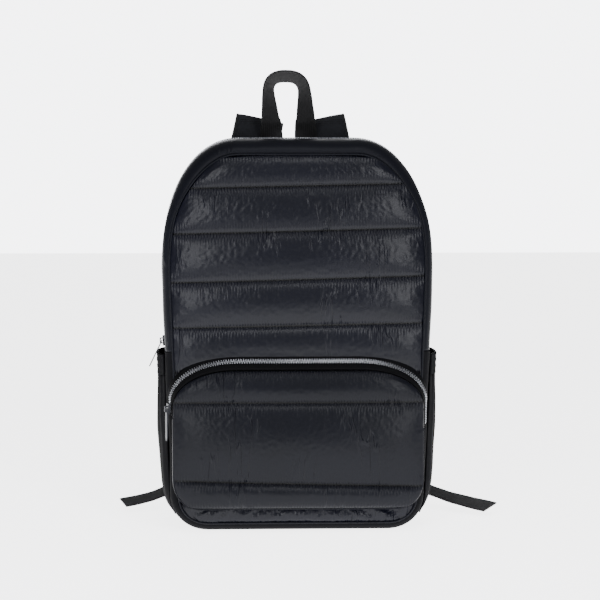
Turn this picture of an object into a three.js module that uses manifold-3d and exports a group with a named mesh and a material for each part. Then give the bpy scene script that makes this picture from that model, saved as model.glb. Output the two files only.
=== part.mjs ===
// Quilted puffer backpack, standing on its base.
// Units are millimetres and +Z is up. The front, with the quilting, faces -Y, and the back,
// with the shoulder straps, faces +Y. The origin is the middle of the flat base.
import * as THREE from 'three';
import Module from 'manifold-3d';
import { mergeVertices } from 'three/addons/utils/BufferGeometryUtils.js';

const wasm = await Module();
wasm.setup();

// Clearance between pieces that are sewn or lie against each other
const GAP = 0.3;

// Body of the bag, as seen from the front
const BODY_HEIGHT = 419;
const SHOULDER_HALF = 145;
const HIP_HALF = 136;
const FLOOR_HALF = 95;
const FLOOR_CORNER = 40;
const ARCH_HEIGHT = 140;
const CROWN_HALF = 62;
const ROUNDNESS = 2.15;

// Depth of the body, and how far the front leans back towards the top
const BODY_DEPTH = 110;
const TOP_LEAN = 14;
const LEAN_START_SHARE = 0.44;

// Cloth and padding
const FABRIC = 1.4;
const PADDED_EDGE = 2.2;
const BACK_PADDING = 8;
const BACK_EDGE_ROUND = 3.3;

// Rolled strip round the front panel
const SEAM_INSET = 8.5;
const ROLL_DEPTH = 12;

// Quilted front panel. A channel at least as high as the full one puffs out all the way.
const PANEL_PUFF = 10;
const FULL_CHANNEL_HEIGHT = 50;
const PANEL_CROWN = 8;
const BASE_CHANNEL_PUFF = 5;

// Zips: coil width, tape width either side of the middle, and how far the teeth stand up
const MAIN_ZIP_BACK = 46;
const MAIN_ZIP_END = 192;
const TAPE_HALF = 12;
const CHAIN_WIDTH = 5.6;
const CHAIN_THICKNESS = 2.2;
const CHAIN_LIFT = 0.4;
const TAPE_THICKNESS = 0.9;
const TAPE_RECESS = 0.4;

// Front pocket
const POCKET_HALF = 133;
const POCKET_BOTTOM = 26;
const POCKET_TOP = 175;
const POCKET_FLOOR_HALF = 104;
const POCKET_CORNER = 34;
const POCKET_ARCH = 40;
const POCKET_DEPTH = 16;
const POCKET_CROWN = 6;
const POCKET_ZIP_RISE = 16;
const POCKET_ZIP_SIDE_RISE = 6;
const POCKET_ZIP_LAP = 1.5;
const POCKET_ZIP_END_LEFT = 125;
const POCKET_ZIP_END_RIGHT = 113;
const POCKET_ZIP_EASE = 1.5;
const POCKET_ZIP_TURN = 1.5;

// Side pockets, the same on both sides
const SIDE_POCKET_BOTTOM = 16;
const SIDE_POCKET_RIM = 166;
const SIDE_HEM_HEIGHT = 21;
const SIDE_HEM_THICKNESS = 2.4;
const SIDE_POCKET_BULGE = 10;
const SIDE_HEM_BULGE = 7.5;
const HEM_TAPER_START = 0.8;
const SIDE_POCKET_BACK_MARGIN = 9;

// Zip sliders and pullers
const SLIDER_WIDTH = 9;
const SLIDER_LENGTH = 11;
const SLIDER_THICKNESS = 2.6;
const SLIDER_TAIL_SHARE = 0.64;
const SLIDER_SHOULDER_SHARE = 0.1;
const BRIDGE_WIDTH = 1.8;
const BRIDGE_OPENING = 4;
const BRIDGE_RISE = 2;
const BRIDGE_WALL = 1.3;
const PULLER_BAR = 1.2;
const PULLER_EYE = 4.3;
const PULLER_EYE_PLAY = 1.2;
const PULLER_WIDTH = 7;
const POCKET_PULLER_LENGTH = 34;
const MAIN_PULLER_LENGTH = 31;
const PULLER_THICKNESS = 1.2;
const POCKET_SLIDER_HEIGHT = 133;
const MAIN_SLIDER_CLEAR = 14;
const MAIN_SLIDER_HEIGHT = SIDE_POCKET_RIM + SIDE_HEM_HEIGHT + MAIN_SLIDER_CLEAR;
const MAIN_PULLER_LEAN = 28;

// Carry handle
const WEBBING_WIDTH = 25;
const WEBBING_THICKNESS = 1.6;
const HANDLE_X = -6;
const HANDLE_LEAN = -4;
const HANDLE_FOOT_SPREAD = 19;
const HANDLE_SPREAD = 20;
const HANDLE_RISE = 69;
const HANDLE_ARCH = 20;
const HANDLE_TILT = 60;
const HANDLE_TUCK = 25;
const HANDLE_FORWARD = 12;
const HANDLE_FORWARD_START = 0.04;
const HANDLE_FORWARD_SHARE = 0.25;

// Yoke and shoulder straps. The yoke, with the handle, sits a little left of the middle.
const YOKE_SHIFT = -4;
const YOKE_HALF = 74;
const YOKE_DROP = 8;
const YOKE_HEIGHT = 20;
const STRAP_TOP_SPREAD = 34;
const STRAP_TOP_RISE = 22;
const STRAP_SPLAY = 12;
const STRAP_WIDTH = 52;
const STRAP_RUN = 268;
const STRAP_TUCK = 47;
const STRAP_EDGE = 3.5;
const STRAP_PADDING = 9;
const STRAP_FOLD_RADIUS = 8;
const STRAP_BOW = 37;

// Ladder locks and webbing
const LOCK_WIDTH = 38;
const LOCK_HEIGHT = 30;
const LOCK_THICKNESS = 3.5;
const LOCK_BAR = 4;
const LOCK_SLOT_WIDTH = 27;
const LOCK_DROP = 27;
const WEBBING_APPROACH = 12;
const TAB_LAP = 18;
const WING_X = 110;
const WING_Z = 30;
const WING_WIDE = 46;
const WING_NARROW = 27;
const WING_HEIGHT = 28;
const WING_THICKNESS = 2.4;
const TAIL_REACH_LEFT = 193;
const TAIL_REACH_RIGHT = 217;
const TAIL_BACK_LEFT = 70;
const TAIL_BACK_RIGHT = 27;

// Small maths
const lerp = (a, b, t) => a + (b - a) * t;
const radians = (degrees) => degrees * Math.PI / 180;

function easeInOut(t) {
  const u = Math.min(1, Math.max(0, t));
  return u * u * (3 - 2 * u);
}

// Value at a place in a table of rows, where each row holds a key and a value
function fromTable(table, key, value, at) {
  const last = table.length - 1;
  const next = Math.max(1, table.findIndex((row, i) => row[key] >= at || i === last));
  const a = table[next - 1];
  const b = table[next];
  const t = Math.min(1, Math.max(0, (at - a[key]) / (b[key] - a[key])));
  return lerp(a[value], b[value], t);
}

// Lengths below these count as none
const KNOT_STEP = 0.01;
const TINY = 1e-6;

// Geometry from points and triangles, turned so that its faces point out
function solidGeometry(points, triangles) {
  const corner = (i) => new THREE.Vector3(...points[i]);
  let volume = 0;
  for (const [a, b, c] of triangles) {
    volume += corner(a).dot(corner(b).cross(corner(c)));
  }
  const outward = volume < 0 ? triangles.map(([a, b, c]) => [a, c, b]) : triangles;
  const geometry = new THREE.BufferGeometry();
  geometry.setAttribute('position', new THREE.Float32BufferAttribute(points.flat(), 3));
  geometry.setIndex(outward.flat());
  geometry.computeVertexNormals();
  return geometry;
}

// Sheet with thickness: an outer and an inner grid of points, closed round the rim
function sheetGeometry(outer, inner) {
  const rows = outer.length;
  const columns = outer[0].length;
  const inside = rows * columns;
  const id = (r, c) => r * columns + c;
  const triangles = [];
  const quad = (a, b, c, d) => triangles.push([a, b, c], [a, c, d]);
  for (let r = 0; r < rows - 1; r += 1) {
    for (let c = 0; c < columns - 1; c += 1) {
      const [p, q, t, u] = [id(r, c), id(r, c + 1), id(r + 1, c + 1), id(r + 1, c)];
      quad(p, q, t, u);
      quad(inside + p, inside + u, inside + t, inside + q);
    }
  }
  const rim = [];
  for (let c = 0; c < columns - 1; c += 1) rim.push(id(0, c));
  for (let r = 0; r < rows - 1; r += 1) rim.push(id(r, columns - 1));
  for (let c = columns - 1; c > 0; c -= 1) rim.push(id(rows - 1, c));
  for (let r = rows - 1; r > 0; r -= 1) rim.push(id(r, 0));
  rim.forEach((a, i) => {
    const b = rim[(i + 1) % rim.length];
    quad(b, a, inside + a, inside + b);
  });
  return solidGeometry([...outer.flat(), ...inner.flat()], triangles);
}

// Outlines: one half of a bag panel seen from the front, listed from the middle of the
// floor round the corner, up the side and over the arch to the middle of the crown.
const CORNER_STEPS = 5;
const SIDE_STEPS = 5;
const ARCH_STEPS = 8;

function makeOutline(o) {
  const points = [[0, o.bottom], [o.floorHalf, o.bottom]];
  const power = 2 / ROUNDNESS;
  for (let i = 1; i <= CORNER_STEPS; i += 1) {
    const turn = (i / CORNER_STEPS) * Math.PI / 2;
    const x = lerp(o.floorHalf, o.hipHalf, Math.sin(turn) ** power);
    points.push([x, o.bottom + o.corner * (1 - Math.cos(turn) ** power)]);
  }
  const archStart = o.top - o.arch;
  for (let i = 1; i <= SIDE_STEPS; i += 1) {
    const t = i / SIDE_STEPS;
    points.push([lerp(o.hipHalf, o.shoulderHalf, t), lerp(o.bottom + o.corner, archStart, t)]);
  }
  for (let i = 1; i <= ARCH_STEPS; i += 1) {
    const turn = (i / ARCH_STEPS) * Math.PI / 2;
    const x = lerp(o.crownHalf, o.shoulderHalf, Math.cos(turn) ** power);
    points.push([x, archStart + o.arch * Math.sin(turn) ** power]);
  }
  points.push([0, o.top]);
  const edges = points.slice(1).map(([x, z], i) => {
    const dx = x - points[i][0];
    const dz = z - points[i][1];
    const length = Math.hypot(dx, dz);
    return { length, nx: dz / length, nz: -dx / length };
  });
  let s = 0;
  const knots = points.map(([x, z], i) => {
    const before = edges[Math.max(0, i - 1)];
    const after = edges[Math.min(edges.length - 1, i)];
    const mitre = 1 + before.nx * after.nx + before.nz * after.nz;
    const knot = { x, z, s, nx: (before.nx + after.nx) / mitre, nz: (before.nz + after.nz) / mitre };
    s += i < edges.length ? edges[i].length : 0;
    return knot;
  });
  return { knots, edges, length: s, bottom: o.bottom, top: o.top };
}

// Place and outward normal at a distance round an outline. Distances below zero, or past
// the crown, lie on the other half.
function outlineAt(outline, distance) {
  const { knots, edges, length } = outline;
  const lap = 2 * length;
  const round = ((distance % lap) + lap) % lap;
  const side = round > length ? -1 : 1;
  const s = round > length ? lap - round : round;
  const knot = knots.find((k) => Math.abs(k.s - s) < TINY);
  if (knot) return { x: side * knot.x, z: knot.z, nx: side * knot.nx, nz: knot.nz };
  const i = knots.findIndex((k) => k.s > s) - 1;
  const t = (s - knots[i].s) / edges[i].length;
  return {
    x: side * lerp(knots[i].x, knots[i + 1].x, t),
    z: lerp(knots[i].z, knots[i + 1].z, t),
    nx: side * edges[i].nx,
    nz: edges[i].nz,
  };
}

// Distances from one place to another that include each knot between, without the middle
// of the floor and of the crown, so that the base is one flat face
function knotsBetween(outline, from, to) {
  const inner = outline.knots.slice(1, -1).map((k) => k.s);
  const lap = 2 * outline.length;
  const all = [-1, 0, 1].flatMap((turn) => inner.flatMap((s) => [s + turn * lap, turn * lap - s]));
  const between = all.filter((s) => s > from + KNOT_STEP && s < to - KNOT_STEP);
  return [from, ...between.sort((a, b) => a - b), to];
}

const inPlace = (at, inset, y) => [at.x - at.nx * inset, y, at.z - at.nz * inset];

// Half width of an outline, taken in by an inset, at a height
function halfWidthAt(outline, z, inset) {
  const line = outline.knots.map((k) => inPlace(k, inset, 0));
  const i = Math.max(1, line.findIndex((p, k) => k > 1 && p[2] >= z) - 1);
  const next = Math.min(i + 1, line.length - 1);
  const rise = line[next][2] - line[i][2];
  const t = rise > TINY ? Math.min(1, Math.max(0, (z - line[i][2]) / rise)) : 0;
  return lerp(line[i][0], line[next][0], t);
}

// Distance up the right side of an outline at which a height is reached
function distanceAtHeight(outline, z) {
  const { knots } = outline;
  const i = knots.findIndex((k, n) => n > 1 && k.z >= z) - 1;
  const t = (z - knots[i].z) / (knots[i + 1].z - knots[i].z);
  return lerp(knots[i].s, knots[i + 1].s, t);
}

// How far inside an outline a point lies
function insetOf(outline, x, z) {
  const near = outline.edges.map((edge, i) => {
    const k = outline.knots[i];
    return (k.x - Math.abs(x)) * edge.nx + (k.z - z) * edge.nz;
  });
  return Math.min(...near);
}

// Inner line of a profile of { inset, y } points, one thickness inside it. A profile that
// starts along the front is cut off square there, at the inset of its first point.
function innerProfile(profile, thickness) {
  const runs = profile.slice(1).map((p, i) => direction(profile[i], p));
  return profile.map((p, i) => {
    const before = runs[Math.max(0, i - 1)];
    const after = runs[Math.min(runs.length - 1, i)];
    const square = i === 0 && after.inset < -0.5;
    if (square) return { inset: p.inset, y: p.y - thickness / after.inset };
    const mitre = 1 + before.y * after.y + before.inset * after.inset;
    return {
      inset: p.inset + thickness * (before.y + after.y) / mitre,
      y: p.y - thickness * (before.inset + after.inset) / mitre,
    };
  });
}

function direction(a, b) {
  const length = Math.hypot(b.inset - a.inset, b.y - a.y);
  return { inset: (b.inset - a.inset) / length, y: (b.y - a.y) / length };
}

// Band of cloth round an outline: a profile carried from one distance to another
function bandGeometry(outline, from, to, profileAt, thickness) {
  const places = knotsBetween(outline, from, to).map((s) => outlineAt(outline, s));
  const draw = (profile, at) => profile.map((p) => inPlace(at, p.inset, p.y));
  const outer = places.map((at) => draw(profileAt(at), at));
  const inner = places.map((at) => draw(innerProfile(profileAt(at), thickness), at));
  return sheetGeometry(outer, inner);
}

// Ribbon: a strip with a width direction and a thickness at each point of its path
function ribbonGeometry(stations) {
  const frames = stations.map((station, i) => {
    const before = stations[Math.max(0, i - 1)].at;
    const after = stations[Math.min(stations.length - 1, i + 1)].at;
    const along = after.clone().sub(before).normalize();
    const across = station.across.clone().addScaledVector(along, -station.across.dot(along)).normalize();
    return { ...station, across, up: along.clone().cross(across) };
  });
  const row = (frame, side) => [-0.5, 0.5].map((edge) => frame.at.clone()
    .addScaledVector(frame.across, edge * frame.width)
    .addScaledVector(frame.up, side * 0.5 * frame.thickness).toArray());
  return sheetGeometry(frames.map((f) => row(f, 1)), frames.map((f) => row(f, -1)));
}

// Flat plate with its outline in X and Y, thick along Z and centred on it
function plateGeometry(shape, thickness) {
  const geometry = new THREE.ExtrudeGeometry(shape, { depth: thickness, bevelEnabled: false });
  geometry.translate(0, 0, -thickness / 2);
  return geometry;
}

function rectangle(width, height, x = 0, y = 0) {
  const path = new THREE.Shape();
  path.moveTo(x - width / 2, y - height / 2);
  path.lineTo(x + width / 2, y - height / 2);
  path.lineTo(x + width / 2, y + height / 2);
  path.lineTo(x - width / 2, y + height / 2);
  path.closePath();
  return path;
}

function toManifold(geometry) {
  const bare = geometry.clone();
  bare.deleteAttribute('normal');
  bare.deleteAttribute('uv');
  const merged = mergeVertices(bare, 1e-4);
  return new wasm.Manifold(new wasm.Mesh({
    numProp: 3,
    vertProperties: new Float32Array(merged.attributes.position.array),
    triVerts: new Uint32Array(merged.index.array),
  }));
}

function fromManifold(solid) {
  const mesh = solid.getMesh();
  const geometry = new THREE.BufferGeometry();
  geometry.setAttribute('position', new THREE.Float32BufferAttribute(mesh.vertProperties, 3));
  geometry.setIndex(Array.from(mesh.triVerts));
  geometry.computeVertexNormals();
  return geometry;
}

// Materials, named for what the real ones are
const finish = (color, roughness, metalness = 0) => (
  new THREE.MeshStandardMaterial({ color, roughness, metalness })
);
const shellNylon = finish('#22252f', 0.38);
const pocketNylon = finish('#20232b', 0.4);
const sideCloth = finish('#1c1d22', 0.85);
const meshCloth = finish('#17181b', 0.95);
const webbingCloth = finish('#161618', 0.8);
const tapeCloth = finish('#15161a', 0.85);
const zipMetal = finish('#6c6e72', 0.35, 0.9);
const pullerMetal = finish('#8a8c90', 0.4, 0.9);
const acetal = finish('#131315', 0.5);

const backpack = new THREE.Group();

function addPiece(name, geometry, material) {
  const mesh = new THREE.Mesh(geometry, material);
  mesh.name = name;
  backpack.add(mesh);
  return mesh;
}

// Body lines that every piece is set out from
const FRONT_Y = -BODY_DEPTH / 2;
const BACK_Y = BODY_DEPTH / 2;
const LEAN_START = BODY_HEIGHT * LEAN_START_SHARE;
const body = makeOutline({
  bottom: 0,
  top: BODY_HEIGHT,
  floorHalf: FLOOR_HALF,
  hipHalf: HIP_HALF,
  corner: FLOOR_CORNER,
  shoulderHalf: SHOULDER_HALF,
  arch: ARCH_HEIGHT,
  crownHalf: CROWN_HALF,
});
const pocket = makeOutline({
  bottom: POCKET_BOTTOM,
  top: POCKET_TOP,
  floorHalf: POCKET_FLOOR_HALF,
  hipHalf: POCKET_HALF,
  corner: POCKET_CORNER,
  shoulderHalf: POCKET_HALF,
  arch: POCKET_ARCH,
  crownHalf: CROWN_HALF,
});

const frontSeamY = (z) => (
  FRONT_Y + TOP_LEAN * easeInOut((z - LEAN_START) / (BODY_HEIGHT - LEAN_START))
);

// Front face of the bare body, without its puffs: flat panel, then the roll at its edge
function frontFaceY(x, z) {
  const share = Math.min(1, Math.max(0, insetOf(body, x, z) / SEAM_INSET));
  return frontSeamY(z) + ROLL_DEPTH * (1 - Math.sqrt(1 - (1 - share) ** 2));
}

// Roll that every side cloth starts with, from the front seam outwards and back
const ROLL_STEPS = 4;

function rollProfile(z) {
  return Array.from({ length: ROLL_STEPS + 1 }, (_, i) => {
    const share = Math.sin((i / ROLL_STEPS) * Math.PI / 2);
    return {
      inset: SEAM_INSET * (1 - share),
      y: frontSeamY(z) + ROLL_DEPTH * (1 - Math.sqrt(1 - share ** 2)),
    };
  });
}

// Line of the pocket zip: low edge on the pocket, high edge on the body, at each distance
// round the pocket's arch
const pocketZipFrom = distanceAtHeight(pocket, POCKET_ZIP_END_RIGHT);
const pocketZipTo = 2 * pocket.length - distanceAtHeight(pocket, POCKET_ZIP_END_LEFT);
const POCKET_EDGE_Y = FRONT_Y - POCKET_DEPTH;

function pocketZipAt(s) {
  const at = outlineAt(pocket, s);
  const upward = Math.max(0, at.nz / Math.hypot(at.nx, at.nz)) ** POCKET_ZIP_TURN;
  const atSide = Math.min(insetOf(body, at.x, at.z) - POCKET_ZIP_LAP, POCKET_ZIP_SIDE_RISE);
  const out = lerp(atSide, POCKET_ZIP_RISE, upward);
  const reach = TAPE_THICKNESS + GAP;
  const under = inPlace(at, reach - out, 0);
  const [x, , z] = inPlace(at, -out, 0);
  return {
    low: new THREE.Vector3(at.x, POCKET_EDGE_Y, at.z),
    high: new THREE.Vector3(x, frontFaceY(under[0], under[2]) - reach, z),
  };
}

const pocketZipLine = knotsBetween(pocket, pocketZipFrom, pocketZipTo).map(pocketZipAt);
const zipHighEdge = pocketZipLine
  .filter((row) => row.high.x > 0)
  .map((row) => ({ x: row.high.x, z: row.high.z }))
  .sort((a, b) => a.x - b.x);

function zipEdgeHeight(x) {
  const inside = Math.max(zipHighEdge[0].x, Math.min(Math.abs(x), zipHighEdge.at(-1).x));
  return fromTable(zipHighEdge, 'x', 'z', inside);
}

// Lower edge of the pocket above a place on the floor
function pocketFootHeight(x) {
  const foot = pocket.knots.slice(1, 2 + CORNER_STEPS).map((k) => ({ x: k.x, z: k.z }));
  return fromTable(foot, 'x', 'z', Math.max(foot[0].x, Math.min(Math.abs(x), foot.at(-1).x)));
}

// Quilted front panel. Heights of its seams are shares of the body's height.
const PANEL_SEAMS = [0.526, 0.643, 0.765, 0.879];
const CHANNEL_ROWS = [
  { rise: 0, puff: 0 },
  { rise: 0.13, puff: 0.64 },
  { rise: 0.36, puff: 1 },
  { rise: 0.66, puff: 0.9 },
  { rise: 0.89, puff: 0.5 },
];
const BASE_ROWS = [
  { rise: 0, puff: 0 },
  { rise: 0.3, puff: 0.8 },
  { rise: 0.65, puff: 1 },
];
const PANEL_COLUMNS = [
  { across: 0, puff: 0.96 },
  { across: 0.26, puff: 1 },
  { across: 0.5, puff: 0.97 },
  { across: 0.68, puff: 1 },
  { across: 0.82, puff: 0.92 },
  { across: 0.92, puff: 0.66 },
  { across: 1, puff: 0 },
];

const bothSides = (columns) => [
  ...columns.slice(1).reverse().map((c) => ({ ...c, across: -c.across })),
  ...columns,
];

// Rows of a quilted panel: each has a height over x, a puff and a share of the crown
function frontPanelRows() {
  const edge = SEAM_INSET + GAP;
  const seams = PANEL_SEAMS.map((share) => share * BODY_HEIGHT);
  const top = BODY_HEIGHT - edge;
  const zipTop = POCKET_TOP + POCKET_ZIP_RISE;
  const crownAt = (z) => Math.sin(Math.PI * Math.min(1, Math.max(0, (z - zipTop) / (top - zipTop))));
  const foot = (x) => pocketFootHeight(x) - POCKET_ZIP_EASE;
  const zip = (x) => zipEdgeHeight(x) + POCKET_ZIP_EASE;
  const rows = BASE_ROWS.map((row) => ({
    height: (x) => lerp(edge, foot(x), row.rise), puff: BASE_CHANNEL_PUFF * row.puff, crown: 0,
  }));
  for (const rise of [0, 0.5]) {
    rows.push({ height: (x) => lerp(foot(x), zip(x), rise), puff: 0, crown: 0 });
  }
  const lines = [zip, ...seams.map((z) => () => z), () => top];
  lines.slice(0, -1).forEach((low, i) => {
    const high = lines[i + 1];
    const span = (high(0) - low(0)) / FULL_CHANNEL_HEIGHT;
    for (const row of CHANNEL_ROWS) {
      rows.push({
        height: (x) => lerp(low(x), high(x), row.rise),
        puff: PANEL_PUFF * row.puff * Math.min(1, span),
        crown: PANEL_CROWN * crownAt(lerp(low(0), high(0), row.rise)),
      });
    }
  });
  rows.push({ height: () => top, puff: 0, crown: 0 });
  return rows;
}

// The height of a row depends on how far across it lies, and the other way round, so each
// point is found by going back and forth until it settles
const SETTLING_TURNS = 12;

function frontPanelGeometry() {
  const edge = SEAM_INSET + GAP;
  const columns = bothSides(PANEL_COLUMNS);
  const grid = (depthAt) => frontPanelRows().map((row) => columns.map((column) => {
    let z = row.height(column.across * SHOULDER_HALF);
    let x = 0;
    for (let turn = 0; turn < SETTLING_TURNS; turn += 1) {
      x = column.across * halfWidthAt(body, z, edge);
      z = row.height(x);
    }
    const crown = row.crown * (1 - column.across ** 2);
    return [x, frontSeamY(z) - depthAt(row, column, crown), z];
  }));
  return sheetGeometry(
    grid((row, column, crown) => row.puff * column.puff + crown),
    grid((row, column, crown) => crown - PADDED_EDGE),
  );
}

addPiece('front_panel', frontPanelGeometry(), shellNylon);

// Quilted front pocket: panel, seam heights as shares of the pocket's own height
const POCKET_CHANNELS = [
  { from: 0, to: 0.18, puff: 6 },
  { from: 0.18, to: 0.77, puff: 10 },
  { from: 0.77, to: 1, puff: 7 },
];

function pocketPanelGeometry() {
  const height = POCKET_TOP - POCKET_BOTTOM;
  const columns = bothSides(PANEL_COLUMNS);
  const rows = POCKET_CHANNELS.flatMap((channel) => CHANNEL_ROWS.map((row) => ({
    share: lerp(channel.from, channel.to, row.rise), puff: channel.puff * row.puff,
  })));
  rows.push({ share: 1, puff: 0 });
  const grid = (depthAt) => rows.map((row) => columns.map((column) => {
    const z = POCKET_BOTTOM + height * row.share;
    const crown = POCKET_CROWN * Math.sin(Math.PI * row.share) * (1 - column.across ** 2);
    const y = POCKET_EDGE_Y - GAP - depthAt(row, column, crown);
    return [column.across * halfWidthAt(pocket, z, 0), y, z];
  }));
  return sheetGeometry(
    grid((row, column, crown) => PADDED_EDGE + row.puff * column.puff + crown),
    grid((row, column, crown) => crown),
  );
}

addPiece('pocket_panel', pocketPanelGeometry(), pocketNylon);

// Narrow wall of the pocket, from its edge back to the body, below the ends of its zip. It
// stands twice the gap off the body, whose rolled edge is curved under it.
function pocketGussetProfile(at) {
  const inner = inPlace(at, FABRIC, 0);
  return [
    { inset: 0, y: POCKET_EDGE_Y },
    { inset: 0, y: frontFaceY(inner[0], inner[2]) - 2 * GAP },
  ];
}

addPiece('pocket_gusset', bandGeometry(
  pocket,
  -distanceAtHeight(pocket, POCKET_ZIP_END_LEFT) + GAP,
  pocketZipFrom - GAP,
  pocketGussetProfile,
  FABRIC,
), pocketNylon);

// Pieces of the pocket zip lie side by side between its low and high edges
function pocketZipGeometry(spanOf, lift, thickness) {
  const middles = pocketZipLine.map((row) => row.low.clone().lerp(row.high, 0.5));
  const rows = pocketZipLine.map((row, i) => {
    const across = row.high.clone().sub(row.low);
    const width = across.length();
    const along = middles[Math.min(middles.length - 1, i + 1)].clone()
      .sub(middles[Math.max(0, i - 1)]);
    const out = across.clone().cross(along).normalize();
    const ends = spanOf(width).map((d) => row.low.clone().addScaledVector(across, d / width));
    const level = (height) => ends.map((p) => p.clone().addScaledVector(out, height).toArray());
    return { outer: level(lift), inner: level(lift - thickness) };
  });
  return sheetGeometry(rows.map((r) => r.outer), rows.map((r) => r.inner));
}

const chainHalf = CHAIN_WIDTH / 2;
const lowerTapeSpan = (width) => [GAP, width / 2 - chainHalf - GAP / 2];
const chainSpan = (width) => [width / 2 - chainHalf + GAP / 2, width / 2 + chainHalf - GAP / 2];
const upperTapeSpan = (width) => [width / 2 + chainHalf + GAP / 2, width];
addPiece('pocket_zip_tape_lower', pocketZipGeometry(lowerTapeSpan, 0, TAPE_THICKNESS), tapeCloth);
addPiece('pocket_zip_tape_upper', pocketZipGeometry(upperTapeSpan, 0, TAPE_THICKNESS), tapeCloth);
addPiece('pocket_zip_chain', pocketZipGeometry(chainSpan, CHAIN_LIFT, CHAIN_THICKNESS), zipMetal);

// Main zip over the top of the bag, with the cloth in front of it and behind it
const mainZipFrom = distanceAtHeight(body, MAIN_ZIP_END);
const mainZipTo = 2 * body.length - mainZipFrom;
const mainZipY = (z) => frontSeamY(z) + MAIN_ZIP_BACK;
const flatProfile = (inset, from, to) => (at) => [
  { inset, y: from(at.z) },
  { inset, y: to(at.z) },
];
const overTop = (profileAt, thickness) => (
  bandGeometry(body, mainZipFrom, mainZipTo, profileAt, thickness)
);

addPiece('front_strip', overTop((at) => [
  ...rollProfile(at.z),
  { inset: 0, y: mainZipY(at.z) - TAPE_HALF },
], FABRIC), sideCloth);
addPiece('main_zip_tape_front', overTop(flatProfile(
  TAPE_RECESS,
  (z) => mainZipY(z) - TAPE_HALF + GAP,
  (z) => mainZipY(z) - chainHalf - GAP / 2,
), TAPE_THICKNESS), tapeCloth);
addPiece('main_zip_tape_rear', overTop(flatProfile(
  TAPE_RECESS,
  (z) => mainZipY(z) + chainHalf + GAP / 2,
  (z) => mainZipY(z) + TAPE_HALF - GAP,
), TAPE_THICKNESS), tapeCloth);
addPiece('main_zip_chain', overTop(flatProfile(
  TAPE_RECESS - CHAIN_LIFT,
  (z) => mainZipY(z) - chainHalf + GAP / 2,
  (z) => mainZipY(z) + chainHalf - GAP / 2,
), CHAIN_THICKNESS), zipMetal);
addPiece('rear_gusset', overTop(flatProfile(
  0,
  (z) => mainZipY(z) + TAPE_HALF,
  () => BACK_Y,
), FABRIC), sideCloth);

// Side panels below the ends of the zip, and the bottom panel between them
const sideFrom = distanceAtHeight(body, SIDE_POCKET_BOTTOM);
const wholeSide = (at) => [...rollProfile(at.z), { inset: 0, y: BACK_Y }];
addPiece('side_panel_right', bandGeometry(
  body, sideFrom + GAP, mainZipFrom - GAP, wholeSide, FABRIC,
), sideCloth);
addPiece('side_panel_left', bandGeometry(
  body, GAP - mainZipFrom, -sideFrom - GAP, wholeSide, FABRIC,
), sideCloth);
addPiece('bottom_panel', bandGeometry(body, -sideFrom, sideFrom, wholeSide, FABRIC), sideCloth);

// Padded back panel: a slab with a rounded edge over the whole back
const BACK_FACE_Y = BACK_Y + GAP + BACK_PADDING;

function backPanelGeometry() {
  const right = body.knots.slice(1, -1);
  const left = right.map((k) => ({ ...k, x: -k.x, nx: -k.nx }));
  const loops = [
    { inset: 0, y: BACK_Y + GAP },
    { inset: 0, y: BACK_FACE_Y - BACK_EDGE_ROUND },
    { inset: BACK_EDGE_ROUND * 0.3, y: BACK_FACE_Y - BACK_EDGE_ROUND * 0.3 },
    { inset: BACK_EDGE_ROUND, y: BACK_FACE_Y },
  ];
  const ring = [...right, ...left.reverse()];
  const points = loops.flatMap((loop) => ring.map((k) => inPlace(k, loop.inset, loop.y)));
  const count = ring.length;
  const triangles = [];
  for (let l = 0; l < loops.length - 1; l += 1) {
    for (let i = 0; i < count; i += 1) {
      const j = (i + 1) % count;
      const low = l * count;
      const high = low + count;
      triangles.push([low + i, low + j, high + j], [low + i, high + j, high + i]);
    }
  }
  const cap = (start, turn) => {
    for (let i = 0; i < right.length - 1; i += 1) {
      const [a, b] = [start + i, start + i + 1];
      const [c, d] = [start + count - 2 - i, start + count - 1 - i];
      const pair = [[a, b, c], [a, c, d]];
      triangles.push(...(turn ? pair.map((t) => [t[0], t[2], t[1]]) : pair));
    }
  };
  cap(0, true);
  cap((loops.length - 1) * count, false);
  return solidGeometry(points, triangles);
}

addPiece('back_panel', backPanelGeometry(), meshCloth);

// Side pockets: a sheet that stands off the side panel, and an elastic hem round its mouth.
// Rows go up the pocket and columns go across it, both as shares.
const SIDE_POCKET_ROWS = [
  { rise: 0, bulge: 0 },
  { rise: 0.05, bulge: 0.35 },
  { rise: 0.12, bulge: 0.62 },
  { rise: 0.22, bulge: 0.86 },
  { rise: 0.34, bulge: 1 },
  { rise: 0.6, bulge: 1.05 },
  { rise: 0.82, bulge: 0.95 },
  { rise: 1, bulge: 1 },
];
const SIDE_POCKET_COLUMNS = [
  { across: 0, bulge: 0 },
  { across: 0.08, bulge: 0.5 },
  { across: 0.22, bulge: 0.88 },
  { across: 0.42, bulge: 1 },
  { across: 0.62, bulge: 1 },
  { across: 0.82, bulge: 0.8 },
  { across: 0.94, bulge: 0.42 },
  { across: 1, bulge: 0 },
];

function sidePocketGeometry(side, from, to, thickness, bulgeAt) {
  const start = distanceAtHeight(body, from);
  const end = distanceAtHeight(body, to);
  const extra = SIDE_POCKET_ROWS.map((row) => lerp(start, end, row.rise));
  const stops = [...knotsBetween(body, start, end), ...extra.slice(1, -1)].sort((a, b) => a - b)
    .filter((s, i, all) => i === 0 || s - all[i - 1] > 1);
  const front = FRONT_Y + ROLL_DEPTH;
  const back = BACK_Y - SIDE_POCKET_BACK_MARGIN;
  const grid = (depth) => stops.map((s) => SIDE_POCKET_COLUMNS.map((column) => {
    const stand = bulgeAt((s - start) / (end - start)) * column.bulge;
    const out = GAP + stand + depth;
    const [x, y, z] = inPlace(outlineAt(body, s), -out, lerp(front, back, column.across));
    return [side * x, y, z];
  }));
  return sheetGeometry(grid(thickness), grid(0));
}

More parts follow.
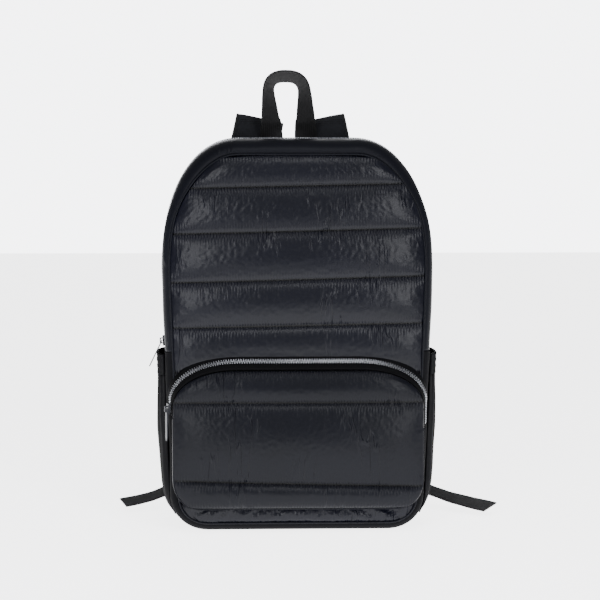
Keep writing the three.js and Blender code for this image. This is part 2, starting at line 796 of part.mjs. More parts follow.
for (const [word, side] of [['left', -1], ['right', 1]]) {
  const bagBulge = (rise) => lerp(
    SIDE_POCKET_BULGE * fromTable(SIDE_POCKET_ROWS, 'rise', 'bulge', rise),
    SIDE_HEM_BULGE,
    easeInOut((rise - HEM_TAPER_START) / (1 - HEM_TAPER_START)),
  );
  addPiece(`side_pocket_${word}`, sidePocketGeometry(
    side, SIDE_POCKET_BOTTOM, SIDE_POCKET_RIM, FABRIC, bagBulge,
  ), sideCloth);
  addPiece(`side_pocket_hem_${word}`, sidePocketGeometry(
    side, SIDE_POCKET_RIM + GAP, SIDE_POCKET_RIM + SIDE_HEM_HEIGHT, SIDE_HEM_THICKNESS, () => SIDE_HEM_BULGE,
  ), sideCloth);
}

// Zip slider in its own frame: X across the tape, Y along the teeth, Z away from them, with
// the top of the teeth at zero. Its bridge holds the puller's bar.
const PULLER_AXIS = GAP + SLIDER_THICKNESS + BRIDGE_RISE / 2;

function sliderGeometry() {
  const plan = new THREE.Shape();
  const [wide, long] = [SLIDER_WIDTH / 2, SLIDER_LENGTH / 2];
  const tail = wide * SLIDER_TAIL_SHARE;
  const shoulder = SLIDER_LENGTH * SLIDER_SHOULDER_SHARE;
  plan.moveTo(-tail, -long);
  plan.lineTo(tail, -long);
  plan.lineTo(wide, shoulder);
  plan.lineTo(wide, long);
  plan.lineTo(-wide, long);
  plan.lineTo(-wide, shoulder);
  plan.closePath();
  const base = plateGeometry(plan, SLIDER_THICKNESS);
  base.translate(0, 0, GAP + SLIDER_THICKNESS / 2);
  const foot = BRIDGE_OPENING / 2 + BRIDGE_WALL;
  const top = BRIDGE_RISE + BRIDGE_WALL;
  const arch = new THREE.Shape();
  arch.moveTo(-foot, -BRIDGE_WALL);
  arch.lineTo(-foot, top - BRIDGE_WALL / 2);
  arch.lineTo(-foot + BRIDGE_WALL / 2, top);
  arch.lineTo(foot - BRIDGE_WALL / 2, top);
  arch.lineTo(foot, top - BRIDGE_WALL / 2);
  arch.lineTo(foot, -BRIDGE_WALL);
  arch.lineTo(BRIDGE_OPENING / 2, -BRIDGE_WALL);
  arch.lineTo(BRIDGE_OPENING / 2, BRIDGE_RISE);
  arch.lineTo(-BRIDGE_OPENING / 2, BRIDGE_RISE);
  arch.lineTo(-BRIDGE_OPENING / 2, -BRIDGE_WALL);
  arch.closePath();
  const bridge = plateGeometry(arch, BRIDGE_WIDTH);
  bridge.applyMatrix4(new THREE.Matrix4().makeBasis(
    new THREE.Vector3(0, 1, 0), new THREE.Vector3(0, 0, 1), new THREE.Vector3(1, 0, 0),
  ));
  bridge.translate(0, 0, GAP + SLIDER_THICKNESS);
  return fromManifold(toManifold(base).add(toManifold(bridge)));
}

// Puller in the same frame, with its bar on the hinge axis and its plate hanging along -Y
function pullerGeometry(length) {
  const plan = new THREE.Shape();
  const half = PULLER_WIDTH / 2;
  plan.moveTo(-half, PULLER_BAR / 2);
  plan.lineTo(-half, -length + half);
  plan.lineTo(-half * 0.5, -length);
  plan.lineTo(half * 0.5, -length);
  plan.lineTo(half, -length + half);
  plan.lineTo(half, PULLER_BAR / 2);
  plan.closePath();
  const eyeHeight = PULLER_EYE - PULLER_BAR / 2;
  plan.holes.push(rectangle(BRIDGE_WIDTH + PULLER_EYE_PLAY, eyeHeight, 0, -PULLER_BAR / 2 - eyeHeight / 2));
  return plateGeometry(plan, PULLER_THICKNESS);
}

// Frame that stands on a zip: origin on the teeth, X across, Y up the teeth, Z out
function zipFrame(origin, up, out) {
  const across = up.clone().cross(out).normalize();
  const along = out.clone().cross(across).normalize();
  const frame = new THREE.Group();
  frame.matrixAutoUpdate = false;
  frame.matrix.makeBasis(across, along, out.clone().normalize()).setPosition(origin);
  backpack.add(frame);
  return frame;
}

function addSlider(name, frame, length, lean) {
  const slider = new THREE.Mesh(sliderGeometry(), zipMetal);
  slider.name = `${name}_slider`;
  const puller = new THREE.Mesh(pullerGeometry(length), pullerMetal);
  puller.name = `${name}_puller`;
  puller.position.z = PULLER_AXIS;
  puller.rotation.x = -radians(lean);
  frame.add(slider, puller);
}

// Pocket slider at the left end of its zip, its puller hanging down the edge of the pocket
function pocketSliderFrame() {
  const s = 2 * pocket.length - distanceAtHeight(pocket, POCKET_SLIDER_HEIGHT);
  const row = pocketZipAt(s);
  const across = row.high.clone().sub(row.low).normalize();
  const up = new THREE.Vector3(0, 0, 1);
  const out = up.clone().cross(across).normalize();
  const origin = row.low.clone().lerp(row.high, 0.5).addScaledVector(out, CHAIN_LIFT);
  return zipFrame(origin, up, out);
}

addSlider('pocket_zip', pocketSliderFrame(), POCKET_PULLER_LENGTH, 0);

// Main slider at the left end of the main zip, its puller leaning out over the pocket hem
function mainSliderFrame() {
  const at = outlineAt(body, -distanceAtHeight(body, MAIN_SLIDER_HEIGHT));
  const out = new THREE.Vector3(at.nx, 0, at.nz).normalize();
  const up = new THREE.Vector3(-at.nz, 0, at.nx).normalize();
  if (up.z < 0) up.negate();
  const origin = new THREE.Vector3(...inPlace(at, TAPE_RECESS - CHAIN_LIFT, mainZipY(at.z)));
  return zipFrame(origin, up, out);
}

addSlider('main_zip', mainSliderFrame(), MAIN_PULLER_LENGTH, MAIN_PULLER_LEAN);

// Layers behind the back panel, each one clear of the last
const handleY = BACK_FACE_Y + GAP + WEBBING_THICKNESS / 2;
const strapY = handleY + WEBBING_THICKNESS / 2 + GAP + STRAP_EDGE / 2;
const yokeY = strapY + STRAP_EDGE / 2 + GAP + WEBBING_THICKNESS / 2;

// Carry handle: a loop of webbing whose legs twist on their way up, so that the width of the
// webbing leans back over the arch. Rows give the twist of the legs as they rise.
const HANDLE_LEG_ROWS = [
  { rise: 0.04, twist: 0 },
  { rise: 0.18, twist: 0.3 },
  { rise: 0.4, twist: 0.55 },
  { rise: 0.7, twist: 0.76 },
  { rise: 1, twist: 0.94 },
];
const HANDLE_ARCH_STEPS = 12;
const HANDLE_SQUARENESS = 0.75;

function handleStation(x, z, inward, twist) {
  const tilt = radians(HANDLE_TILT * twist);
  const back = new THREE.Vector3(0, Math.sin(tilt), 0);
  const share = Math.max(0, (z - BODY_HEIGHT) / HANDLE_RISE);
  const step = (share - HANDLE_FORWARD_START) / HANDLE_FORWARD_SHARE;
  const y = handleY - HANDLE_FORWARD * easeInOut(step);
  return {
    at: new THREE.Vector3(HANDLE_X + HANDLE_LEAN * share + x, y, z),
    across: inward.clone().normalize().multiplyScalar(Math.cos(tilt)).add(back),
    width: WEBBING_WIDTH,
    thickness: WEBBING_THICKNESS,
  };
}

function handleStations() {
  const legTop = BODY_HEIGHT + HANDLE_RISE - HANDLE_ARCH;
  const inwardAt = (side) => new THREE.Vector3(-side, 0, 0);
  const leg = (side) => [
    handleStation(side * HANDLE_FOOT_SPREAD, BODY_HEIGHT - HANDLE_TUCK, inwardAt(side), 0),
    ...HANDLE_LEG_ROWS.map((row) => handleStation(
      side * lerp(HANDLE_FOOT_SPREAD, HANDLE_SPREAD, row.rise),
      lerp(BODY_HEIGHT, legTop, row.rise),
      inwardAt(side),
      row.twist,
    )),
  ];
  const square = (v) => Math.sign(v) * Math.abs(v) ** HANDLE_SQUARENESS;
  const arch = Array.from({ length: HANDLE_ARCH_STEPS - 1 }, (_, i) => {
    const turn = ((i + 1) / HANDLE_ARCH_STEPS) * Math.PI;
    const [x, z] = [HANDLE_SPREAD * square(Math.cos(turn)), HANDLE_ARCH * square(Math.sin(turn))];
    const inward = new THREE.Vector3(-Math.cos(turn), 0, -Math.sin(turn));
    return handleStation(x, legTop + z, inward, 1);
  });
  return [...leg(1), ...arch, ...leg(-1).reverse()];
}

addPiece('carry_handle', ribbonGeometry(handleStations()), webbingCloth);

// Yoke: webbing bar sewn over the handle's legs and the straps
const yoke = plateGeometry(rectangle(2 * YOKE_HALF, YOKE_HEIGHT), WEBBING_THICKNESS);
yoke.rotateX(Math.PI / 2);
yoke.translate(YOKE_SHIFT, yokeY, BODY_HEIGHT - YOKE_DROP - YOKE_HEIGHT / 2);
addPiece('strap_yoke', yoke, webbingCloth);

// Shoulder straps: up from the yoke, folded over and down the back, padded below the fold.
// Rows give how far down the back run, how far it bows out, and its padding and width.
const STRAP_ROWS = [
  { down: 0.06, bow: 0.12, padding: 0.3, width: 1 },
  { down: 0.16, bow: 0.55, padding: 0.85, width: 1.04 },
  { down: 0.32, bow: 0.92, padding: 1, width: 1.1 },
  { down: 0.5, bow: 1, padding: 1, width: 1.12 },
  { down: 0.68, bow: 0.82, padding: 1, width: 1.06 },
  { down: 0.83, bow: 0.3, padding: 0.8, width: 0.98 },
  { down: 0.91, bow: -0.04, padding: 0.27, width: 0.9 },
  { down: 1, bow: -0.04, padding: 0.27, width: 0.86 },
];
const FOLD_STEPS = 6;

// Point of a strap plane: distance down the strap from its top, and depth
function strapPoint(side, down, y) {
  const splay = radians(STRAP_SPLAY);
  const top = BODY_HEIGHT + STRAP_TOP_RISE;
  const x = STRAP_TOP_SPREAD + down * Math.sin(splay);
  return new THREE.Vector3(YOKE_SHIFT + side * x, y, top - down * Math.cos(splay));
}

const strapAcross = (side) => new THREE.Vector3(
  Math.cos(radians(STRAP_SPLAY)), 0, side * Math.sin(radians(STRAP_SPLAY)),
);

function strapStations(side) {
  const across = strapAcross(side);
  const station = (down, y, width, thickness) => ({
    at: strapPoint(side, down, y), across, width: STRAP_WIDTH * width, thickness,
  });
  const stations = [STRAP_TUCK, STRAP_TUCK / 2].map((down) => station(down, strapY, 1, STRAP_EDGE));
  for (let i = 0; i <= FOLD_STEPS; i += 1) {
    const turn = (i / FOLD_STEPS) * Math.PI;
    const down = STRAP_FOLD_RADIUS * (1 - Math.sin(turn));
    const y = strapY + STRAP_FOLD_RADIUS * (1 - Math.cos(turn));
    stations.push(station(down, y, 1, STRAP_EDGE));
  }
  const backY = strapY + 2 * STRAP_FOLD_RADIUS;
  for (const row of STRAP_ROWS) {
    const y = backY + row.bow * (STRAP_BOW - 2 * STRAP_FOLD_RADIUS);
    const thickness = lerp(STRAP_EDGE, STRAP_PADDING, row.padding);
    stations.push(station(row.down * STRAP_RUN, y, row.width, thickness));
  }
  return stations;
}

for (const [word, side] of [['left', -1], ['right', 1]]) {
  addPiece(`shoulder_strap_${word}`, ribbonGeometry(strapStations(side)), meshCloth);
}

// Depth of the strap's lower end, and the plane in which its ladder lock hangs
const strapEnd = STRAP_ROWS.at(-1);
const STRAP_END_PADDING = lerp(STRAP_EDGE, STRAP_PADDING, strapEnd.padding);
const lockY = strapY + 2 * STRAP_FOLD_RADIUS + strapEnd.bow * (STRAP_BOW - 2 * STRAP_FOLD_RADIUS);
const lockDown = STRAP_RUN + LOCK_DROP;

// Ladder lock hanging below the strap: a plate with two slots and three bars
function ladderLockGeometry() {
  const plate = rectangle(LOCK_WIDTH, LOCK_HEIGHT);
  const slot = (LOCK_HEIGHT - 3 * LOCK_BAR) / 2;
  const offset = (slot + LOCK_BAR) / 2;
  plate.holes.push(rectangle(LOCK_SLOT_WIDTH, slot, 0, offset));
  plate.holes.push(rectangle(LOCK_SLOT_WIDTH, slot, 0, -offset));
  const geometry = plateGeometry(plate, LOCK_THICKNESS);
  geometry.rotateX(Math.PI / 2);
  return geometry;
}

// Short tab of webbing: down one face of the strap, under the lock's top bar and up again
function strapTabStations(side) {
  const across = strapAcross(side);
  const stand = STRAP_END_PADDING / 2 + GAP + WEBBING_THICKNESS / 2;
  const bar = lockDown - (LOCK_HEIGHT - LOCK_BAR) / 2;
  const station = (down, y) => ({
    at: strapPoint(side, down, lockY + y),
    across,
    width: WEBBING_WIDTH,
    thickness: WEBBING_THICKNESS,
  });
  const stations = [station(STRAP_RUN - TAB_LAP, -stand)];
  for (let i = 0; i <= FOLD_STEPS; i += 1) {
    const turn = (i / FOLD_STEPS) * Math.PI;
    stations.push(station(bar + stand * Math.sin(turn), -stand * Math.cos(turn)));
  }
  stations.push(station(STRAP_RUN - TAB_LAP, stand));
  return stations;
}

// Adjusting webbing: from under its wing up the inner side of the lock, over the middle bar,
// down the outer side and out, just clear of the floor, to its free end. The points of the free run stay
// as chosen: a share of the reach past the wing, a share of the way forward to the free end,
// a height, and a twist where 0 lies flat to the strap and 1 lies level.
const TAIL_TILT = 14;
const TAIL_ROUTE = [
  { out: -0.08, forward: 0, height: 104, twist: 0.04 },
  { out: 0.02, forward: 0, height: 70, twist: 0.2 },
  { out: 0.15, forward: 0, height: 43, twist: 0.5 },
  { out: 0.34, forward: 0.06, height: 25, twist: 0.82 },
  { out: 0.55, forward: 0.28, height: 17, twist: 0.97 },
  { out: 0.78, forward: 0.62, height: 12.5, twist: 1 },
  { out: 1, forward: 1, height: 10, twist: 1 },
];

function webbingStations(side, tail) {
  const wrap = LOCK_THICKNESS / 2 + GAP + WEBBING_THICKNESS / 2;
  const barTop = lockDown - LOCK_BAR / 2;
  const strapWidth = strapAcross(side);
  const floorWidth = new THREE.Vector3(
    0, Math.cos(radians(TAIL_TILT)), Math.sin(radians(TAIL_TILT)),
  );
  const station = (at, twist) => ({
    at,
    across: strapWidth.clone().multiplyScalar(side * (1 - twist)).addScaledVector(floorWidth, twist),
    width: WEBBING_WIDTH,
    thickness: WEBBING_THICKNESS,
  });
  const underWing = new THREE.Vector3(side * WING_X, handleY, WING_Z);
  const stations = [
    station(underWing.clone().add(new THREE.Vector3(0, 0, -WING_HEIGHT * 0.3)), 0),
    station(underWing.clone().add(new THREE.Vector3(0, 0, WING_HEIGHT * 0.6)), 0),
    station(strapPoint(side, lockDown + LOCK_HEIGHT, lockY - wrap - 1), 0),
    station(strapPoint(side, lockDown + WEBBING_APPROACH, lockY - wrap), 0),
  ];
  for (let i = 0; i <= FOLD_STEPS; i += 1) {
    const turn = (i / FOLD_STEPS) * Math.PI;
    stations.push(station(
      strapPoint(side, barTop - wrap * Math.sin(turn), lockY - wrap * Math.cos(turn)), 0,
    ));
  }
  stations.push(station(strapPoint(side, lockDown + WEBBING_APPROACH, lockY + wrap), 0));
  const behind = lockY + wrap + WEBBING_THICKNESS;
  for (const point of TAIL_ROUTE) {
    const x = WING_X + point.out * (tail.reach - WING_X);
    const y = lerp(behind, tail.back, point.forward);
    stations.push(station(new THREE.Vector3(side * x, y, point.height), point.twist));
  }
  return stations;
}

// Wing sewn over the webbing's start on the lower corner of the back panel
function wingGeometry() {
  const plan = new THREE.Shape();
  plan.moveTo(-WING_WIDE / 2, -WING_HEIGHT / 2);
  plan.lineTo(WING_WIDE / 2, -WING_HEIGHT / 2);
  plan.lineTo(WING_NARROW / 2, WING_HEIGHT / 2);
  plan.lineTo(-WING_NARROW / 2, WING_HEIGHT / 2);
  plan.closePath();
  const geometry = plateGeometry(plan, WING_THICKNESS);
  geometry.rotateX(Math.PI / 2);
  return geometry;
}

const wingY = handleY + WEBBING_THICKNESS / 2 + GAP + WING_THICKNESS / 2;
const TAILS = [
  { word: 'left', side: -1, reach: TAIL_REACH_LEFT, back: TAIL_BACK_LEFT },
  { word: 'right', side: 1, reach: TAIL_REACH_RIGHT, back: TAIL_BACK_RIGHT },
];
for (const tail of TAILS) {
  const { word, side } = tail;
  const lock = addPiece(`ladder_lock_${word}`, ladderLockGeometry(), acetal);
  lock.position.copy(strapPoint(side, lockDown, lockY));
  lock.rotation.y = -side * radians(STRAP_SPLAY);
  addPiece(`strap_tab_${word}`, ribbonGeometry(strapTabStations(side)), webbingCloth);
  addPiece(`strap_webbing_${word}`, ribbonGeometry(webbingStations(side, tail)), webbingCloth);
  const wing = addPiece(`anchor_wing_${word}`, wingGeometry(), sideCloth);
  wing.position.set(side * WING_X, wingY, WING_Z);
}

export default backpack;
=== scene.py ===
import math

import bmesh
import bpy
import numpy as np
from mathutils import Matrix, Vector


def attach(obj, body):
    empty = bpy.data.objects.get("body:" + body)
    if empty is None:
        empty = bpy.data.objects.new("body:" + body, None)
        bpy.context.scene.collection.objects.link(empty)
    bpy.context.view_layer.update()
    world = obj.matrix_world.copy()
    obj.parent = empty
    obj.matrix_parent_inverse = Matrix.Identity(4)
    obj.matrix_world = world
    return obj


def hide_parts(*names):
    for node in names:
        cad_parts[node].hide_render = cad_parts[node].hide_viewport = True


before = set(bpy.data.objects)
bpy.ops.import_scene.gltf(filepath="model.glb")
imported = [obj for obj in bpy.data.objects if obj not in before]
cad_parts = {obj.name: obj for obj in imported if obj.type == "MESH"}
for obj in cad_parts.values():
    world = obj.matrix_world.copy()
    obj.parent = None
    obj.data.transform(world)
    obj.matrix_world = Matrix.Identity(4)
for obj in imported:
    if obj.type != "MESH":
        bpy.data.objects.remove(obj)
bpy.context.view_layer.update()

# Camera: low in front and a hair to the left, as far off as a product photographer stands
# with a long lens. Sizes are in metres here, and the bag's middle is the point looked at.
CAMERA_TURN = math.radians(-2)
CAMERA_RISE = math.radians(5)
CAMERA_DISTANCE = 2.2
FOCAL_WIDTHS = 3.364
LOOK_AT = Vector((0.0041, 0, 0.2437))
ORBIT_CENTRE = Vector((0, 0, 0.211))

toward_camera = Vector((
    math.sin(CAMERA_TURN) * math.cos(CAMERA_RISE),
    -math.cos(CAMERA_TURN) * math.cos(CAMERA_RISE),
    math.sin(CAMERA_RISE),
))


def aim(thing, place, target):
    thing.location = place
    thing.rotation_euler = (Vector(target) - Vector(place)).to_track_quat("-Z", "Y").to_euler()


camera_data = bpy.data.cameras.new("camera")
camera_data.lens = FOCAL_WIDTHS * camera_data.sensor_width
camera = bpy.data.objects.new("camera", camera_data)
bpy.context.scene.collection.objects.link(camera)
aim(camera, ORBIT_CENTRE + toward_camera * CAMERA_DISTANCE, LOOK_AT)
bpy.context.scene.camera = camera

# Floor and light: white paper that glows from just in front of the bag on, and a backdrop
# that is bright only straight behind it, so that the glossy front stays dark. A tall soft
# bank stands on each side in front, and a broad light hangs above.
FLOOR_REACH = 6
LIGHT_COLOUR = (0.97, 0.975, 1.0)


def linear(hex_colour):
    """Linear colour of an sRGB hex value."""
    values = [int(hex_colour[i:i + 2], 16) / 255 for i in (1, 3, 5)]
    return tuple(v / 12.92 if v <= 0.04045 else ((v + 0.055) / 1.055) ** 2.4 for v in values) + (1,)


def add(tree, kind, inputs=None, **settings):
    """Adds a node, sets it up, and links or fills its inputs."""
    node = tree.nodes.new(kind)
    for key, value in settings.items():
        setattr(node, key, value)
    for key, value in (inputs or {}).items():
        if isinstance(value, bpy.types.NodeSocket):
            tree.links.new(value, node.inputs[key])
        else:
            node.inputs[key].default_value = value
    return node


def new_finish(name, **constants):
    """A material with its shader, whose constant values are set on its own sockets."""
    material = bpy.data.materials.new(name)
    material.use_nodes = True
    shader = material.node_tree.nodes["Principled BSDF"]
    for key, value in constants.items():
        shader.inputs[key.replace("_", " ")].default_value = value
    return material, material.node_tree, shader


def connect(tree, shader, **sources):
    """Feeds a shader's sockets, whose names are given with underscores."""
    for key, source in sources.items():
        tree.links.new(source, shader.inputs[key.replace("_", " ")])


def object_place(tree):
    return add(tree, "ShaderNodeTexCoord").outputs["Object"]


def blend(tree, share, first, second):
    """A mix of two colours, each a hex value or a colour made in the tree."""
    first, second = (linear(c) if isinstance(c, str) else c for c in (first, second))
    return add(tree, "ShaderNodeMix", {0: share, 6: first, 7: second}, data_type="RGBA").outputs[2]


def ramp(tree, value, start, stop, low=0.0, high=1.0, smooth=False):
    """A value carried from one range into another, and held at both ends."""
    return add(tree, "ShaderNodeMapRange", {0: value, 1: start, 2: stop, 3: low, 4: high},
               interpolation_type="SMOOTHSTEP" if smooth else "LINEAR").outputs[0]


bpy.ops.mesh.primitive_plane_add(size=2 * FLOOR_REACH, location=(0, 0, 0))
floor = bpy.context.object
floor.name = "paper_floor"
paper, tree, shader = new_finish("pale_paper", Roughness=0.9)
mottle = add(tree, "ShaderNodeTexNoise", {"Scale": 3.0, "Detail": 2.0}).outputs["Fac"]
shade = blend(tree, mottle, "#f3f3f4", "#f9f9fa")
behind = add(tree, "ShaderNodeSeparateXYZ", {"Vector": object_place(tree)}).outputs["Y"]
connect(tree, shader, Base_Color=shade, Emission_Color=shade,
        Emission_Strength=ramp(tree, behind, -0.9, -0.4, 0.5, 4.0, smooth=True))
floor.data.materials.append(paper)

world = bpy.data.worlds.new("studio")
world.use_nodes = True
backdrop = world.node_tree.nodes["Background"]
backdrop.inputs["Color"].default_value = linear("#f7f8fb")
around = add(world.node_tree, "ShaderNodeTexCoord").outputs["Generated"]
away = add(world.node_tree, "ShaderNodeSeparateXYZ", {"Vector": around}).outputs["Y"]
connect(world.node_tree, backdrop,
        Strength=ramp(world.node_tree, away, 0.9, 0.962, 0.34, 6.2, smooth=True))
bpy.context.scene.world = world


def soft_box(name, place, target, width, height, power):
    data = bpy.data.lights.new(name, "AREA")
    data.shape = "RECTANGLE"
    data.size, data.size_y = width, height
    data.energy = power
    data.color = LIGHT_COLOUR
    light = bpy.data.objects.new(name, data)
    bpy.context.scene.collection.objects.link(light)
    aim(light, place, target)


soft_box("left_bank", (-0.72, -1.9, 0.8), (0, 0, 0.3), 0.36, 1.6, 26)
soft_box("right_bank", (0.8, -1.85, 0.8), (0, 0, 0.3), 0.36, 1.6, 26)
soft_box("top_light", (0.1, -0.9, 1.9), (0, 0, 0.2), 1.0, 0.8, 16)

# Quilted front: down-proof nylon over wadding, sewn to a backing in flat rows, so that the
# cloth between two seams stands off and gathers into fine puckers along the thread.
# Sizes of the bag from here on are millimetres.
MM = 0.001
GAP = 0.3
BODY_HEIGHT = 419
BODY_DEPTH = 110
FRONT_Y = -BODY_DEPTH / 2
BACK_Y = BODY_DEPTH / 2
TOP_LEAN = 14
LEAN_START = 0.44 * BODY_HEIGHT
ROUNDNESS = 2.15
ROLL_DEPTH = 12
SIDE_INSET = 8.5
CROWN_INSET = 17
LINE_STEP = 2.0
BACKING = 2.0
SEAM_BITE = 1.1
SEAM_BITE_REACH = 1.8
SEAM_PULL_REACH = 3.6
UNEVENNESS = 0.12
MOST_PUFF = 14.0
MOST_SAG = 0.5
CLOTH_FRAMES = 30
PANEL_BULGE = 8
PLEAT = 3.1
PANEL_TOP = BODY_HEIGHT - CROWN_INSET - GAP


def between(a, b, share):
    return a + (b - a) * share


def ease(share):
    share = np.clip(share, 0, 1)
    return share * share * (3 - 2 * share)


class Line:
    """One half of a panel's outline seen from the front, from the middle of its floor to the
    middle of its crown, with outward normals."""

    def __init__(self, bottom, top, floor_half, corner, hip, shoulder, arch, crown):
        power = 2 / ROUNDNESS
        turn = np.linspace(0, math.pi / 2, 41)
        sine, cosine = np.sin(turn) ** power, np.maximum(np.cos(turn), 0) ** power
        spring = top - arch
        low = np.stack([floor_half + (hip - floor_half) * sine, bottom + corner * (1 - cosine)], 1)
        rise = np.linspace(0, 1, 41)[1:, None]
        side = np.array([hip, bottom + corner]) * (1 - rise) + np.array([shoulder, spring]) * rise
        high = np.stack([crown + (shoulder - crown) * cosine, spring + arch * sine], 1)[1:]
        points = np.concatenate([[[0, bottom]], low, side, high, [[0, top]]])
        run = np.concatenate([[0], np.cumsum(np.hypot(*np.diff(points, axis=0).T))])
        at = np.linspace(0, run[-1], int(run[-1] / LINE_STEP) + 1)
        self.x = np.interp(at, run, points[:, 0])
        self.z = np.interp(at, run, points[:, 1])
        dx, dz = np.gradient(self.x), np.gradient(self.z)
        length = np.hypot(dx, dz)
        self.nx, self.nz = dz / length, -dx / length

    def offset(self, inset):
        """The line taken in by an inset, which may differ from point to point."""
        return self.x - self.nx * inset, self.z - self.nz * inset

    def half_width(self, z, inset):
        x_in, z_in = self.offset(inset)
        start = int(np.argmax(self.nx > 0.02))
        return np.interp(z, z_in[start:], x_in[start:])

    def at_height(self, height):
        """Number of the first point of the side that is as high as this."""
        return int(np.argmax((self.z >= height) & (self.nx > 0.02)))

    def places(self, start, stop=None):
        """Rows of x, z and the outward normal for a stretch of the line."""
        return np.stack([self.x, self.z, self.nx, self.nz], 1)[start:stop]

    def inset_of(self, x, z):
        """How far inside the line a point lies."""
        reach = (self.x - abs(x)) * self.nx + (self.z - z) * self.nz
        return reach[self.nx + np.abs(self.nz) > 0].min()


body = Line(0, BODY_HEIGHT, 95, 40, 136, 145, 140, 62)
pocket = Line(26, 175, 104, 34, 133, 133, 40, 62)


def front_seam_y(z):
    return FRONT_Y + TOP_LEAN * ease((z - LEAN_START) / (BODY_HEIGHT - LEAN_START))


def seam_inset(z):
    """Width of the rolled strip outside the front seam, which grows over the crown."""
    return between(SIDE_INSET, CROWN_INSET, ease((z - 330) / (BODY_HEIGHT - 330)))


def front_face_y(x, z):
    share = min(1.0, max(0.0, body.inset_of(x, z) / SIDE_INSET))
    return front_seam_y(z) + ROLL_DEPTH * (1 - math.sqrt(1 - (1 - share) ** 2))


def mesh_object(name, points, faces, uvs=None):
    """A new object from points in millimetres, with its faces turned outwards by the maker."""
    mesh = bpy.data.meshes.new(name)
    mesh.from_pydata((np.asarray(points, float) * MM).tolist(), [], faces)
    if uvs is not None:
        layer = mesh.uv_layers.new(name="lie_of_cloth")
        corners = np.array([uvs[v] for face in faces for v in face], float) * MM
        layer.data.foreach_set("uv", corners.ravel())
    mesh.validate()
    thing = bpy.data.objects.new(name, mesh)
    bpy.context.scene.collection.objects.link(thing)
    mesh.shade_smooth()
    return thing


def grid_faces(rows, columns, close=False, flip=False):
    faces = []
    for r in range(0, (rows - 1) * columns, columns):
        for c in range(columns if close else columns - 1):
            d = (c + 1) % columns
            quad = [r + c, r + d, r + columns + d, r + columns + c]
            faces.append(quad[::-1] if flip else quad)
    return faces


def rim(rows, columns):
    """Numbers of the points round the edge of a grid, in order."""
    edge = list(range(columns)) + [r * columns + columns - 1 for r in range(1, rows)]
    edge += list(range((rows - 1) * columns + columns - 2, (rows - 1) * columns - 1, -1))
    return edge + [r * columns for r in range(rows - 2, 0, -1)]


def turn_outwards(mesh, build=None, split=False):
    """Turns all faces outwards, and where asked first splits those of many corners."""
    if build is None:
        build = bmesh.new()
        build.from_mesh(mesh)
    if split:
        bmesh.ops.triangulate(build, faces=[f for f in build.faces if len(f.verts) > 4])
    bmesh.ops.recalc_face_normals(build, faces=build.faces)
    build.to_mesh(mesh)
    build.free()


def choose(thing):
    """Makes one object the only one chosen, because an operator acts on all that are."""
    bpy.ops.object.select_all(action="DESELECT")
    thing.select_set(True)
    bpy.context.view_layer.objects.active = thing


def apply_modifiers(thing):
    choose(thing)
    for modifier in list(thing.modifiers):
        bpy.ops.object.modifier_apply(modifier=modifier.name)


def settle(thing, held, slack, extra, pressure, bending):
    """Lets a sewn cloth puff out and gather: held points stay, the rest has extra cloth."""
    group = thing.vertex_groups.new(name="held")
    for index, weight in enumerate(held):
        if weight > 0:
            group.add([index], float(weight), "REPLACE")
    loose = thing.vertex_groups.new(name="slack")
    for index, weight in enumerate(slack):
        loose.add([index], float(weight), "REPLACE")
    cloth = thing.modifiers.new("cloth", "CLOTH")
    settings = cloth.settings
    settings.quality = 6
    settings.mass = 0.05
    settings.tension_stiffness = 30
    settings.compression_stiffness = 30
    settings.shear_stiffness = 8
    settings.bending_stiffness = bending
    settings.air_damping = 2
    settings.vertex_group_mass = "held"
    settings.vertex_group_shrink = "slack"
    settings.shrink_min, settings.shrink_max = -extra[0], -extra[1]
    settings.use_pressure = True
    settings.uniform_pressure_force = pressure
    settings.effector_weights.gravity = 0
    cloth.collision_settings.use_collision = False
    cloth.collision_settings.use_self_collision = False
    cloth.point_cache.frame_start = 1
    cloth.point_cache.frame_end = CLOTH_FRAMES
    scene = bpy.context.scene
    for step in range(1, CLOTH_FRAMES + 1):
        scene.frame_set(step)
    choose(thing)
    bpy.ops.object.modifier_apply(modifier=cloth.name)
    thing.vertex_groups.clear()
    scene.frame_set(1)


def rows_between(breaks, spacing):
    """Rows of a quilted cloth: height, tilt, and share of the way through the channel."""
    rows = []
    for low, high in zip(breaks[:-1], breaks[1:]):
        count = max(2, round((high[0] - low[0]) / spacing))
        for i in range(count):
            share = i / count
            rows.append((between(low[0], high[0], share), between(low[1], high[1], share), share))
    return rows + [(*breaks[-1], 0.0)]


